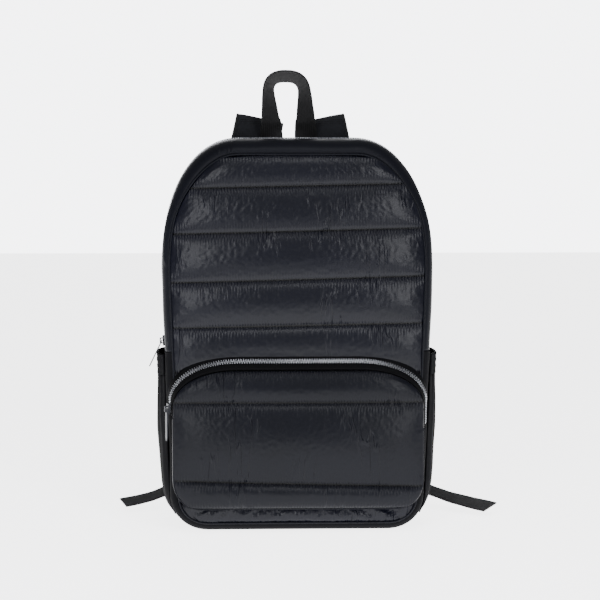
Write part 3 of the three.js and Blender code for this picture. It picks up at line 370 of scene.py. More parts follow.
def quilt(name, breaks, half_width, depth, puff, spacing, extra, slack, pressure, bending, pinned=None):
    """A quilted cloth between seams, each a height and a tilt. It puffs towards the front."""
    rng = np.random.default_rng(len(breaks) * 7 + int(breaks[0][0]))
    rows = rows_between(breaks, spacing)
    widest = max(half_width(row[0]) for row in rows)
    columns = 2 * int(widest / spacing) + 1
    across = np.linspace(-1, 1, columns)
    points, base, held = [], [], []
    for z0, tilt, share in rows:
        x = across * half_width(z0)
        z = z0 + tilt * x
        y = np.array([depth(a, b) for a, b in zip(x, z)])
        swell = puff * math.sin(math.pi * share) ** 0.8 * (1 - np.abs(across) ** 10)
        lump = UNEVENNESS * rng.standard_normal(columns) * (0 < share < 1)
        points.append(np.stack([x, y - swell - lump, z], 1))
        base.append(y)
        row_held = np.full(columns, float(share == 0))
        row_held[[0, -1]] = 1
        if pinned is not None:
            row_held[[pinned(a, b) for a, b in zip(x, z)]] = 1
        held.append(row_held)
    count = len(points)
    points, base = np.concatenate(points), np.concatenate(base)
    thing = mesh_object(name, points, grid_faces(count, columns))
    settle(thing, np.concatenate(held), [slack(x, z) for x, _, z in points], extra, pressure, bending)
    mesh = thing.data
    place = np.empty(len(mesh.vertices) * 3)
    mesh.vertices.foreach_get("co", place)
    place = place.reshape(-1, 3)
    place[:, 1] = np.clip(place[:, 1], (base - MOST_PUFF) * MM, (base + MOST_SAG) * MM)
    near = np.min([np.abs(points[:, 2] - z - tilt * points[:, 0]) for z, tilt in breaks], axis=0)
    place[:, 1] += SEAM_BITE * np.exp(-(near / SEAM_BITE_REACH) ** 2) * MM
    mesh.vertices.foreach_set("co", place.ravel())
    # Nearness to a seam, kept for the finish: it drives the pleats and the painted shade along the seams.
    layer = mesh.attributes.new("seam_pull", "FLOAT", "POINT")
    layer.data.foreach_set("value", np.exp(-near / SEAM_PULL_REACH).astype(np.float32))
    build = bmesh.new()
    build.from_mesh(mesh)
    build.verts.ensure_lookup_table()
    front = [build.verts[i] for i in rim(count, columns)]
    back = [build.verts.new(vert.co + Vector((0, BACKING * MM, 0))) for vert in front]
    for i in range(len(front)):
        j = (i + 1) % len(front)
        build.faces.new((front[j], front[i], back[i], back[j]))
    build.faces.new(back[::-1])
    turn_outwards(mesh, build, split=True)
    finer = thing.modifiers.new("finer", "SUBSURF")
    finer.levels = finer.render_levels = 1
    apply_modifiers(thing)
    thing.data.shade_smooth()
    return thing


def widths(line, inset):
    return lambda z: float(line.half_width(z, inset))


def belly(x, z, low, high, half, rise):
    """How far a filled panel stands out at a place, most of all in its middle."""
    share = min(1, max(0, (z - low) / (high - low)))
    return rise * math.sin(math.pi * share) * (1 - (x / half) ** 2)


def panel_depth(x, z):
    return front_seam_y(z) - belly(x, z, 191, 410, 140, PANEL_BULGE)


def top_slack(x, z):
    """The cloth is gathered most in the two top channels, a little right of the middle."""
    return math.exp(-((x - 18) / 65) ** 2) * float(ease((z - 325) / 60))


front_breaks = [(112, 0), (170, 0), (220.4, 0.019), (269.4, 0.026), (320.5, 0.024),
                (368.3, 0.022), (PANEL_TOP, 0)]
front_widths = widths(body, seam_inset(body.z) + GAP)
quilted_front = quilt(
    "quilted_front", front_breaks, front_widths, panel_depth,
    puff=5, spacing=2.0, extra=(0.05, 0.2), slack=top_slack, pressure=20.0, bending=0.3,
    pinned=lambda x, z: z < 130,
)


def noise(tree, where, scale, detail=2.0, distortion=0.0):
    return add(tree, "ShaderNodeTexNoise", {
        "Vector": where, "Scale": scale, "Detail": detail, "Distortion": distortion,
    }).outputs["Fac"]


def bands(tree, where, period, direction, **more):
    """Even ribs, whose period is in millimetres."""
    more = {key.replace("_", " "): value for key, value in more.items()}
    return add(tree, "ShaderNodeTexWave", {"Vector": where, "Scale": wave_scale(period), **more},
               wave_type="BANDS", bands_direction=direction).outputs["Fac"]


def combine(tree, operation, *values):
    return add(tree, "ShaderNodeMath", dict(enumerate(values)), operation=operation).outputs[0]


def relief(tree, *layers, invert=False):
    """A normal from layers of height, each with its depth in metres and its strength."""
    under = {}
    for height, distance, strength in layers:
        bump = add(tree, "ShaderNodeBump",
                   {"Height": height, "Distance": distance, "Strength": strength, **under}, invert=invert)
        under = {"Normal": bump.outputs["Normal"]}
    return under["Normal"]


def nylon_finish(name, dark, light, roughness, gloss):
    """Calendered nylon: a dark, tight, glossy cloth that shows every pucker as a thin light.
    The thread pulls a fine pleat every 3 mm, and long upright creases come in patches. Close to
    the seams the colour is painted near black, as painted shade in the stitched grooves."""
    nylon, tree, shader = new_finish(name, Roughness=roughness, Specular_IOR_Level=gloss)
    where = object_place(tree)
    colour = blend(tree, noise(tree, where, 12.0, 3.0), dark, light)
    pull = add(tree, "ShaderNodeAttribute", attribute_name="seam_pull").outputs["Fac"]
    pleats = bands(tree, where, PLEAT, "X", Distortion=5.0, Detail=2.0, Detail_Scale=0.35,
                   Detail_Roughness=0.6)
    upright = add(tree, "ShaderNodeMapping", {"Vector": where, "Scale": (95.0, 0.0, 15.0)}).outputs[0]
    run = noise(tree, upright, 1.0, 1.0, 0.3)
    off_line = combine(tree, "ABSOLUTE", combine(tree, "SUBTRACT", run, 0.5))
    line = ramp(tree, off_line, 0.0, 0.05, 1.0, 0.0, smooth=True)
    shown = ramp(tree, noise(tree, where, 22.0, 0.0), 0.54, 0.72, smooth=True)
    normal = relief(
        tree,
        (noise(tree, where, 90.0, 3.0, 0.6), 0.0006, 0.08),
        (combine(tree, "MULTIPLY", pleats, pull), 0.0009, 0.9),
        (combine(tree, "MULTIPLY", line, shown), 0.0009, 0.8),
        (noise(tree, where, 900.0), 0.0001, 0.3),
    )
    # Painted shade: near each seam the colour darkens to near black (#020203), in place of the shade in the
    # stitched groove.
    seam_shaded_colour = blend(tree, ramp(tree, pull, 0.66, 0.93), colour, "#020203")
    connect(tree, shader, Base_Color=seam_shaded_colour, Normal=normal)
    return nylon


def wave_scale(period):
    """Scale of a wave texture for a period in millimetres."""
    return 2 * math.pi / (20 * period * MM)


def dress(thing, material, body_name, slot, *nodes):
    """Gives a piece its finish, the body that it rides and the CAD nodes that it stands for."""
    thing.data.materials.clear()
    thing.data.materials.append(material)
    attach(thing, body_name)
    if nodes:
        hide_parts(*nodes)


def unit(rows):
    return rows / np.linalg.norm(rows, axis=-1, keepdims=True)


def run_of(path):
    """How far along a line each of its points lies."""
    return np.concatenate([[0], np.cumsum(np.linalg.norm(np.diff(path, axis=0), axis=1))])


def at_distance(s, run, path):
    """The place on a line at a distance along it."""
    return np.array([np.interp(s, run, path[:, k]) for k in range(3)])


def stitches(name, path, out, pitch=3.4, long=2.5, thick=0.45):
    """Lock stitches along a line of places in millimetres: one short round thread each."""
    path = np.asarray(path, float)
    run = run_of(path)
    points, faces = [], []
    for start in np.arange(pitch / 2, run[-1] - pitch / 2, pitch):
        a, b = (at_distance(start + s, run, path) for s in (0, long))
        along = unit(b - a)
        side = unit(np.cross(along, out))
        lift = np.cross(side, along)
        first = len(points)
        points.append(a)
        for share in (0.25, 0.75):
            for turn in np.arange(4) * math.pi / 2:
                round_it = side * math.cos(turn) + lift * math.sin(turn)
                points.append(a + (b - a) * share + thick / 2 * round_it)
        points.append(b)
        for i in range(4):
            j = (i + 1) % 4
            faces.append([first, first + 1 + j, first + 1 + i])
            faces.append([first + 1 + i, first + 1 + j, first + 5 + j, first + 5 + i])
            faces.append([first + 9, first + 5 + i, first + 5 + j])
    thing = mesh_object(name, points, faces)
    turn_outwards(thing.data)
    return thing


def seam_stitches(name, breaks, half_width, depth):
    """The thread along the inner seams of a quilted cloth, lying in their grooves."""
    for index, (z0, tilt) in enumerate(breaks[1:-1], 1):
        half = half_width(z0) - 2
        line = [(a, depth(a, z0 + tilt * a) + SEAM_BITE - 0.35, z0 + tilt * a)
                for a in np.linspace(-half, half, 90)]
        dress(stitches(f"{name}_{index}", line, (0, -1, 0)), thread, "pack", "shell_nylon")


thread, tree, shader = new_finish("bonded_polyester_thread", Roughness=0.6)
twist = noise(tree, object_place(tree), 2500.0)
connect(tree, shader, Base_Color=blend(tree, twist, "#0b0b10", "#1c1d26"))
seam_stitches("front_seam_thread", front_breaks, front_widths, panel_depth)
shell_nylon = nylon_finish("down_proof_nylon", "#06070c", "#0b0c15", 0.29, 0.15)
dress(quilted_front, shell_nylon, "pack", "shell_nylon", "front_panel")

# Channel below the pocket: the foot of the same quilted front, held flat at the pocket and at
# the bottom seam, and pulled into close upright pleats between them.
foot_breaks = [(SIDE_INSET + GAP, 0), (30, 0)]
quilted_foot = quilt(
    "quilted_foot", foot_breaks, front_widths, panel_depth,
    puff=4, spacing=1.7, extra=(0.03, 0.03), slack=lambda x, z: 0, pressure=20.0, bending=0.5,
)
dress(quilted_foot, shell_nylon, "pack", "shell_nylon", "front_panel")

# Front pocket: a quilted panel of the same nylon in three channels, the middle one deep, on a
# narrow wall of single cloth.
POCKET_DEPTH = 16
POCKET_BULGE = 6
POCKET_EDGE_Y = FRONT_Y - POCKET_DEPTH
pocket_breaks = [(26.5, 0), (54, -0.026), (140.5, 0.0), (174.5, 0)]


def pocket_depth(x, z):
    return POCKET_EDGE_Y - GAP - BACKING - belly(x, z, 26, 175, 133, POCKET_BULGE)


def pocket_slack(x, z):
    """Loose along the zip and round the two top corners, tight over the belly."""
    corner = max(math.exp(-((x + 85) / 30) ** 2), math.exp(-((x - 75) / 35) ** 2))
    return float(ease((z - 115) / 50)) * (0.35 + 0.65 * corner)


pocket_widths = widths(pocket, 0.4)
quilted_pocket = quilt(
    "quilted_pocket", pocket_breaks, pocket_widths, pocket_depth,
    puff=5, spacing=2.0, extra=(0.0, 0.1), slack=pocket_slack, pressure=8.0, bending=1.0,
)
# The pocket and its wall take a copy of the front's nylon painted a shade darker: painted shade.
pocket_nylon_shaded = nylon_finish("down_proof_nylon_pocket_shaded", "#05060a", "#090a11", 0.32, 0.105)
dress(quilted_pocket, pocket_nylon_shaded, "pack", "shell_nylon", "pocket_panel")
seam_stitches("pocket_seam_thread", pocket_breaks, pocket_widths, pocket_depth)

# Rolled strip round the front: the same nylon turned over a soft edge between the front seam
# and the zip, wider over the crown and rolled deeper there.
MAIN_ZIP_BACK = 46
MAIN_ZIP_END = 192
TAPE_HALF = 12
CLOTH = 1.4
MIRROR = np.array([-1, 1, -1, 1])


def over_the_top(line, height):
    """The places of an outline from a height on the right, over the crown, to the left."""
    right = line.places(line.at_height(height))
    return np.concatenate([right, right[:-1][::-1] * MIRROR])


def under_the_bottom(line, height):
    right = line.places(0, line.at_height(height) + 1)
    return np.concatenate([right[1:][::-1] * MIRROR, right])


def one_side(line, low, high, side):
    """The places of one side, from its lower end on the right and its upper on the left."""
    part = line.places(line.at_height(low), line.at_height(high) + 1)
    return part if side > 0 else part[::-1] * MIRROR


def ripple(x, y, z, size, height, seed=0.0):
    """Slow unevenness of filled cloth: a height for a place, from a few crossing waves."""
    a = np.sin(x / size + 1.7 * np.sin(z / (1.9 * size) + seed) + seed)
    b = np.sin(z / (0.8 * size) + 1.3 * np.sin(y / size + 2 * seed) + 2.1 * seed)
    c = np.sin((y - 0.6 * z) / (0.6 * size) + 1.1 * np.sin(x / size - seed) + 0.7 * seed)
    return height * (a + b + c) / 3


def thicken(thing, thickness, even=False):
    """Gives a face of cloth its thickness, which lies behind it."""
    wall = thing.modifiers.new("wall", "SOLIDIFY")
    wall.thickness = thickness * MM
    wall.offset = -1
    wall.use_even_offset = even
    apply_modifiers(thing)
    thing.data.shade_smooth()
    return thing


def shell(name, places, profile, thickness, wave=0.0, wave_size=14.0, seed=1.0):
    """A band of cloth carried along an outline. The profile gives rows of inset and depth for
    a height; the cloth's thickness lies inside it."""
    rows = []
    for x, z, nx, nz in places:
        row = []
        for inset, y in profile(z):
            lift = ripple(x, y, z, wave_size, wave, seed) if wave else 0.0
            row.append((x - nx * (inset - lift), y, z - nz * (inset - lift)))
        rows.append(row)
    rows = np.array(rows)
    count, columns = rows.shape[:2]
    return thicken(mesh_object(name, rows.reshape(-1, 3), grid_faces(count, columns)), thickness, even=True)


def roll_profile(z, steps=8):
    inset = float(seam_inset(z))
    depth = between(ROLL_DEPTH, 30, ease((z - 330) / (BODY_HEIGHT - 330)))
    turn = np.linspace(0, math.pi / 2, steps + 1)
    return [(inset * (1 - math.sin(t)), front_seam_y(z) + depth * (1 - math.cos(t))) for t in turn]


def main_zip_y(z):
    return front_seam_y(z) + MAIN_ZIP_BACK


def strip_profile(z):
    rolled = roll_profile(z)
    end = main_zip_y(z) - TAPE_HALF
    return rolled + [(-0.2, between(rolled[-1][1], end, share)) for share in (0.4, 0.75)] + [(0, end)]


crown_places = over_the_top(body, MAIN_ZIP_END)
front_strip = shell("rolled_strip", crown_places, strip_profile, CLOTH, wave=0.7, wave_size=16)
strip_nylon = nylon_finish("down_proof_nylon_strip", "#07080c", "#0e0f15", 0.45, 0.07)
dress(front_strip, strip_nylon, "pack", "side_cloth", "front_strip")

# Piping of the front seam: a thin cord of folded nylon sewn in between the quilted front and
# the strip, all the way round.
PIPING = 1.1
PIPING_INSET = 0.2
PIPING_LIFT = 0.8


def tube(name, centres, radius, sides=8):
    """A closed-ended tube along a line of points."""
    centres = np.asarray(centres, float)
    along = unit(np.gradient(centres, axis=0))
    side = unit(np.cross(along, np.array([0, 1.0, 0.02])))
    up = np.cross(side, along)
    turn = np.linspace(0, 2 * math.pi, sides, endpoint=False)
    ring = np.cos(turn)[:, None, None] * side + np.sin(turn)[:, None, None] * up
    points = (centres[None] + radius * ring).transpose(1, 0, 2)
    count = len(centres)
    faces = grid_faces(count, sides, close=True, flip=True)
    faces += [list(range(sides)), [(count - 1) * sides + i for i in range(sides)][::-1]]
    return mesh_object(name, points.reshape(-1, 3), faces)


x_in, z_in = body.offset(seam_inset(body.z) + PIPING_INSET)
half = np.stack([x_in, front_seam_y(body.z) - PIPING_LIFT, z_in], 1)[1:-1]
seam_line = np.concatenate([half, (half * [-1, 1, 1])[::-1], half[:1]])
piping = tube("front_piping", seam_line, PIPING)
dress(piping, strip_nylon, "pack", "shell_nylon")

# Main zip: two woven tapes with cast metal teeth set in turn from each side, over the top
# from pocket to pocket.
TOOTH_PITCH = 2.6
TEETH_HALF = 2.8
TEETH_HOLD = 1.2
TEETH_LIFT = 0.2
TAPE_INSET = 0.4
TAPE_THICKNESS = 0.9


def woven_finish(name, dark, light, rib, roughness):
    """Woven polyester: matte threads, each rib painted a little lighter in its colour as a painted
    highlight, in random patches, over a relief of the ribs.
    """
    woven, tree, shader = new_finish(name, Roughness=roughness, Specular_IOR_Level=0.06)
    where = object_place(tree)
    warp, weft = (bands(tree, where, rib, way, Distortion=0.4) for way in ("DIAGONAL", "Z"))
    cross = combine(tree, "MULTIPLY", warp, weft)
    # Painted highlight: the colour is lighter on the ribs, where they would catch light.
    tone = combine(tree, "MULTIPLY", noise(tree, where, 30.0, 3.0), cross)
    normal = relief(tree, (noise(tree, where, 120.0, 3.0), 0.0005, 0.25), (cross, 0.0002, 0.5))
    connect(tree, shader, Base_Color=blend(tree, tone, dark, light), Normal=normal)
    return woven


def tape_rows(low, high):
    """Rows of a tape that lies just inside the outline, between two distances from the zip."""
    return lambda z: [(TAPE_INSET, main_zip_y(z) + y) for y in (low, (low + high) / 2, high)]


tape_weave = woven_finish("woven_zip_tape", "#040405", "#0b0c0f", 0.9, 0.75)
outer, inner = TAPE_HALF - GAP, TEETH_HALF - TEETH_HOLD
for word, low, high in (("front", -outer, -inner), ("rear", inner, outer)):
    tape = shell(f"woven_main_tape_{word}", crown_places, tape_rows(low, high), TAPE_THICKNESS)
    dress(tape, tape_weave, "pack", "zip_tape", f"main_zip_tape_{word}")


def tooth_shape():
    """One tooth: a small block with its nose narrowed and its edges eased."""
    bpy.ops.mesh.primitive_cube_add(size=1)
    tooth = bpy.context.object
    for vertex in tooth.data.vertices:
        vertex.co.x *= 3.6 * MM
        vertex.co.y *= (1.25 if vertex.co.x > 0 else 0.9) * MM
        vertex.co.z *= 1.9 * MM
    ease_edges = tooth.modifiers.new("ease", "BEVEL")
    ease_edges.width = 0.22 * MM
    ease_edges.segments = 1
    apply_modifiers(tooth)
    points = np.array([v.co for v in tooth.data.vertices])
    faces = [list(p.vertices) for p in tooth.data.polygons]
    bpy.data.objects.remove(tooth)
    return points, faces


tooth_points, tooth_faces = tooth_shape()


def teeth(name, centres, across, out):
    """Teeth along a line of places in millimetres, set in turn from either side."""
    run = run_of(centres)
    points, faces = [], []
    for index, s in enumerate(np.arange(TOOTH_PITCH, run[-1] - TOOTH_PITCH, TOOTH_PITCH / 2)):
        middle, width, away = (at_distance(s, run, rows) for rows in (centres, across, out))
        width = unit(width) * (1 if index % 2 else -1)
        away = unit(away - width * (away @ width))
        start = len(points) * len(tooth_points)
        turned = np.stack([width, np.cross(away, width), away], 1)
        points.append(tooth_points / MM @ turned.T + middle + width)
        faces += [[start + v for v in face] for face in tooth_faces]
    thing = mesh_object(name, np.concatenate(points), faces)
    thing.data.shade_flat()
    return thing


def metal_finish(name, dark, light, roughness):
    """Cast zinc with a gunmetal plating, its colour varying in broad patches between dark and light."""
    metal, tree, shader = new_finish(name, Metallic=1.0)
    where = object_place(tree)
    scratch = noise(tree, where, 700.0)
    connect(tree, shader, Base_Color=blend(tree, noise(tree, where, 25.0, 4.0), dark, light),
            Roughness=ramp(tree, scratch, 0.0, 1.0, roughness - 0.08, roughness + 0.12),
            Normal=relief(tree, (scratch, 0.00005, 0.3)))
    return metal


gunmetal = metal_finish("gunmetal_plated_zinc", "#626368", "#cfd1d6", 0.26)
zip_centres = np.stack([crown_places[:, 0], main_zip_y(crown_places[:, 1]), crown_places[:, 1]], 1)
zip_out = np.stack([crown_places[:, 2], np.zeros(len(crown_places)), crown_places[:, 3]], 1)
zip_across = np.tile([0.0, 1.0, 0.0], (len(crown_places), 1))
main_teeth = teeth("main_zip_teeth", zip_centres + TEETH_LIFT * zip_out, zip_across, zip_out)
dress(main_teeth, gunmetal, "pack", "zip_metal", "main_zip_chain")

# Pocket zip: the same make, laid over the arch of the pocket, with its teeth facing forward
# and its upper tape tucked under the quilted front.
ZIP_RISE = 16
ZIP_SIDE_RISE = 6
ZIP_LAP = 1.5
ZIP_END_LEFT = 125
ZIP_END_RIGHT = 113


def pocket_zip_rows():
    right = over_the_top(pocket, ZIP_END_RIGHT)
    keep = (right[:, 0] > 0) | (right[:, 1] > ZIP_END_LEFT)
    rows = []
    for x, z, nx, nz in right[keep]:
        upward = max(0.0, nz / math.hypot(nx, nz)) ** 1.5
        at_side = min(body.inset_of(x, z) - ZIP_LAP, ZIP_SIDE_RISE)
        out = between(at_side, ZIP_RISE, upward)
        reach = 0.9 + GAP
        under = (x + nx * (out - reach), z + nz * (out - reach))
        low = (x, POCKET_EDGE_Y, z)
        high = (x + nx * out, front_face_y(*under) - reach, z + nz * out)
        rows.append((low, high))
    return np.array(rows)


pocket_rows = pocket_zip_rows()
low_edge, high_edge = pocket_rows[:, 0], pocket_rows[:, 1]
across_pocket = high_edge - low_edge
zip_width = np.linalg.norm(across_pocket, axis=1)[:, None]
across_pocket = across_pocket / zip_width
middle_line = (low_edge + high_edge) / 2
out_of_pocket = unit(np.cross(across_pocket, np.gradient(middle_line, axis=0)))
out_of_pocket *= np.where(out_of_pocket[:, 1:2] > 0, -1, 1)


def tape_between(name, low, high, bulge):
    """A tape along the arch, between two distances from its lower edge for a width there."""
    grid = []
    for edge, across, out, width in zip(low_edge, across_pocket, out_of_pocket, zip_width[:, 0]):
        grid.append([edge + across * between(low(width), high(width), share)
                     + out * bulge * math.sin(math.pi * share) for share in np.linspace(0, 1, 5)])
    grid = np.array(grid)
    normal = np.cross(grid[1, 0] - grid[0, 0], grid[0, 1] - grid[0, 0])
    faces = grid_faces(len(grid), 5, flip=normal @ out_of_pocket[0] >= 0)
    return thicken(mesh_object(name, grid.reshape(-1, 3), faces), TAPE_THICKNESS)


for word, low, high, bulge in (
    ("lower", lambda width: 0.1, lambda width: width / 2 - 1.6, 0.5),
    ("upper", lambda width: width / 2 + 1.6, lambda width: width, 0.3),
):
    tape = tape_between(f"woven_pocket_tape_{word}", low, high, bulge)
    dress(tape, tape_weave, "pack", "zip_tape", f"pocket_zip_tape_{word}")
pocket_teeth = teeth("pocket_zip_teeth", middle_line + TEETH_LIFT * out_of_pocket, across_pocket,
                     out_of_pocket)
dress(pocket_teeth, gunmetal, "pack", "zip_metal", "pocket_zip_chain")

# Narrow wall of the pocket: single nylon between its seam and the front, below the zip,
# bulging a little in its middle.
WALL_BULGE = 0.8
left_wall = pocket.places(1, pocket.at_height(ZIP_END_LEFT - 0.4))[::-1] * MIRROR
right_wall = pocket.places(0, pocket.at_height(ZIP_END_RIGHT - 0.4))
wall_rows = []
for x, z, nx, nz in np.concatenate([left_wall, right_wall]):
    back = front_face_y(x - nx * CLOTH, z - nz * CLOTH) - 2 * GAP
    row = []
    for share in np.linspace(0, 1, 7):
        bulge = WALL_BULGE * math.sin(math.pi * share)
        row.append((x + nx * bulge, between(POCKET_EDGE_Y - 2, back, share), z + nz * bulge))
    wall_rows.append(row)
gusset = mesh_object("pocket_wall", np.reshape(wall_rows, (-1, 3)), grid_faces(len(wall_rows), 7))
dress(thicken(gusset, CLOTH), pocket_nylon_shaded, "pack", "shell_nylon", "pocket_gusset")

# Rear gusset, sides and bottom: matte polyester cloth, cut plain, with a slow unevenness in
# all but the bottom.
side_cloth = woven_finish("matte_polyester", "#060608", "#111215", 0.8, 0.8)


def rear_profile(z):
    low = main_zip_y(z) + TAPE_HALF
    return [(0.5 * math.sin(math.pi * s), between(low, BACK_Y, s)) for s in np.linspace(0, 1, 12)]


rear_gusset = shell("rear_wall", crown_places, rear_profile, CLOTH, wave=0.8, wave_size=18, seed=2.0)
dress(rear_gusset, side_cloth, "pack", "side_cloth", "rear_gusset")


def side_profile(z):
    rolled = roll_profile(z)
    last = rolled[-1][1]
    return rolled + [(0, between(last, BACK_Y, s)) for s in np.linspace(0, 1, 25)[1:]]


for word, side in (("right", 1), ("left", -1)):
    panel = shell(f"side_wall_{word}", one_side(body, 14, MAIN_ZIP_END - 0.5, side), side_profile,
                  CLOTH, wave=0.9, wave_size=20, seed=3.0 + side)
    dress(panel, side_cloth, "pack", "side_cloth", f"side_panel_{word}")
bottom = shell("bottom_wall", under_the_bottom(body, 15), side_profile, CLOTH)
dress(bottom, side_cloth, "pack", "side_cloth", "bottom_panel")

# Back panel: foam under spacer mesh, rounded at its edge, with a shallow channel down its
# middle and two across, so that air passes behind the wearer.
BACK_PADDING = 8
BACK_FACE_Y = BACK_Y + GAP + BACK_PADDING
CHANNEL_DEPTH = 1.6
CHANNEL_LEVELS = (120, 300)
EDGE_ROUNDING = 9.0


def back_panel_mesh():
    rows = np.concatenate([[0.1], np.linspace(2, 12, 6), np.linspace(15, 405, 112),
                           np.linspace(408, 418.9, 6)])
    across = np.sin(np.linspace(-1, 1, 89) * math.pi / 2)
    front, back = [], []
    for z in rows:
        x = across * (float(body.half_width(z, 0.3)) if z > 1 else 96.0)
        inset = np.array([body.inset_of(a, z) for a in x])
        edge = np.clip(inset / EDGE_ROUNDING, 0, 1)
        rounded = np.sqrt(np.clip(1 - (1 - edge) ** 2, 0, 1))
        channel = CHANNEL_DEPTH * np.exp(-(x / 5.0) ** 2)
        for level in CHANNEL_LEVELS:
            channel = np.maximum(channel, CHANNEL_DEPTH * np.exp(-((z - level) / 5.0) ** 2))
        depth = BACK_Y + GAP + 0.2 + (BACK_PADDING - 0.2) * rounded - channel * (inset > 10)
        front.append(np.stack([x, np.full_like(x, BACK_Y + GAP), np.full_like(x, z)], 1))
        back.append(np.stack([x, depth, np.full_like(x, z)], 1))
    front, back = np.concatenate(front), np.concatenate(back)
    edge = rim(len(rows), len(across))
    start = len(back)
    faces = grid_faces(len(rows), len(across), flip=True)
    for i in range(len(edge)):
        j = (i + 1) % len(edge)
        faces.append([edge[i], edge[j], start + j, start + i])
    faces.append([start + i for i in range(len(edge))])
    thing = mesh_object("padded_back", np.concatenate([back, front[edge]]), faces)
    turn_outwards(thing.data, split=True)
    return thing


spacer_mesh, tree, shader = new_finish("knitted_spacer_mesh", Roughness=0.92, Specular_IOR_Level=0.12,
                                       Sheen_Weight=0.06, Sheen_Roughness=0.5)
cells = add(tree, "ShaderNodeTexVoronoi", {
    "Vector": object_place(tree), "Scale": 1 / (2.2 * MM), "Randomness": 0.25,
}, feature="DISTANCE_TO_EDGE")
open_cells = ramp(tree, cells.outputs["Distance"], 0.05, 0.35)
connect(tree, shader, Base_Color=blend(tree, open_cells, "#151619", "#08080a"),
        Normal=relief(tree, (open_cells, 0.0004, 0.6), invert=True))
back_panel = back_panel_mesh()
dress(back_panel, spacer_mesh, "pack", "padded_mesh", "back_panel")

# Side pockets: one layer of the matte cloth gathered into a wide elastic hem, standing a
# little off the side and open at the top.
SIDE_POCKET_BOTTOM = 16
SIDE_POCKET_RIM = 166
POCKET_STAND = 10
HEM_STAND = 7.5
HEM_THICKNESS = 2.4
HEM_HEIGHT = 21
POCKET_FRONT_Y = FRONT_Y + ROLL_DEPTH
POCKET_BACK_Y = BACK_Y - 9
BAG_RISE = [0, 0.05, 0.12, 0.22, 0.34, 0.6, 0.82, 1]
BAG_BULGE = [0, 0.35, 0.62, 0.86, 1, 1.05, 0.95, 0.75]
BAG_ACROSS = [0, 0.08, 0.22, 0.42, 0.62, 0.82, 0.94, 1]
BAG_ACROSS_BULGE = [0, 0.5, 0.88, 1, 1, 0.8, 0.42, 0]


def side_cover(name, side, low, high, thickness, bulge_at, gathers, rows=60, columns=90):
    """A cloth over one side, standing off it by a bulge for a height and by its gathers."""
    part = one_side(body, low, high, 1)
    run = np.linspace(0, 1, len(part))
    grid = []
    for h in np.linspace(0, 1, rows):
        x, z, nx, nz = (float(np.interp(h, run, part[:, k])) for k in range(4))
        for a in np.linspace(0, 1, columns):
            profile = np.interp(a, BAG_ACROSS, BAG_ACROSS_BULGE)
            stand = GAP + bulge_at(h) * profile + thickness + gathers(h, a) * min(1.0, 4 * profile)
            y = between(POCKET_FRONT_Y, POCKET_BACK_Y, a)
            grid.append((side * (x + nx * stand), y, z + nz * stand))
    return thicken(mesh_object(name, grid, grid_faces(rows, columns, flip=side < 0)), thickness)


def bag_gathers(h, a):
    """Folds that fall from the elastic and die out down the pocket, over a slow unevenness."""
    fold = math.sin(2 * math.pi * (a * 9 + 0.35 * math.sin(5 * a) + 0.25 * h))
    fine = math.sin(2 * math.pi * (a * 23 + 0.6 * math.sin(7 * a)))
    slow = 0.9 * math.sin(4.2 * a + 5 * h) * math.sin(6 * h + 2 * a)
    return 0.7 * fold * h ** 3 + 0.35 * fine * h ** 8 + slow * (1 - h ** 4)


def hem_gathers(h, a):
    fine = math.sin(2 * math.pi * (a * 30 + 0.5 * math.sin(9 * a)))
    rows_sewn = 0.25 * math.cos(2 * math.pi * 3 * h)
    return 0.28 * fine * (0.7 + 0.3 * math.sin(13 * a)) + rows_sewn


elastic_weave = woven_finish("ribbed_elastic", "#09090b", "#16171a", 1.3, 0.85)
for word, side in (("left", -1), ("right", 1)):
    bag = side_cover(f"gathered_pocket_{word}", side, SIDE_POCKET_BOTTOM + 1, SIDE_POCKET_RIM, CLOTH,
                     lambda h: POCKET_STAND * float(np.interp(h, BAG_RISE, BAG_BULGE)), bag_gathers)
    dress(bag, side_cloth, "pack", "side_cloth", f"side_pocket_{word}")
    hem = side_cover(f"elastic_hem_{word}", side, SIDE_POCKET_RIM + GAP, SIDE_POCKET_RIM + HEM_HEIGHT,
                     HEM_THICKNESS, lambda h: HEM_STAND, hem_gathers, rows=16, columns=180)
    dress(hem, elastic_weave, "pack", "side_cloth", f"side_pocket_hem_{word}")

# Carry handle: one loop of 25 mm polypropylene webbing sewn behind the top of the back
# panel, its legs twisting so that its arch lies broad over the hand.
WEBBING_WIDTH = 25
WEBBING_THICKNESS = 1.6
HANDLE_X = -6
HANDLE_LEAN = -4
HANDLE_FOOT = 19
HANDLE_SPREAD = 20
HANDLE_RISE = 69
HANDLE_ARCH = 20
HANDLE_TILT = 60
HANDLE_TUCK = 25
HANDLE_FORWARD = 12
LEG_TWIST = [(0.04, 0), (0.18, 0.3), (0.4, 0.55), (0.7, 0.76), (1, 0.94)]
ARCH_STEPS = 12
ARCH_SQUARENESS = 0.75
handle_y = BACK_FACE_Y + GAP + WEBBING_THICKNESS / 2


def smooth_run(rows, count):
    """Rows of numbers that begin with a place, carried through a smooth curve at even steps,
    and the length of their line."""
    rows = np.asarray(rows, float)
    run = run_of(rows[:, :3])
    slope = np.gradient(rows, run, axis=0)
    at = np.linspace(0, run[-1], count)
    index = np.clip(np.searchsorted(run, at) - 1, 0, len(run) - 2)
    span = (run[index + 1] - run[index])[:, None]
    t = (at - run[index])[:, None] / span
    a, b = rows[index], rows[index + 1]
    ma, mb = slope[index] * span, slope[index + 1] * span
    return (2 * t ** 3 - 3 * t ** 2 + 1) * a + (t ** 3 - 2 * t ** 2 + t) * ma \
        + (-2 * t ** 3 + 3 * t ** 2) * b + (t ** 3 - t ** 2) * mb, run[-1]


WEBBING_FACE = [(-0.5, 0.0), (-0.485, 0.42), (-0.46, 0.5)] + \
    [(u, 0.5) for u in np.linspace(-0.4, 0.4, 9)] + [(0.46, 0.5), (0.485, 0.42)]
WEBBING_SECTION = WEBBING_FACE + [(-u, -v) for u, v in WEBBING_FACE]


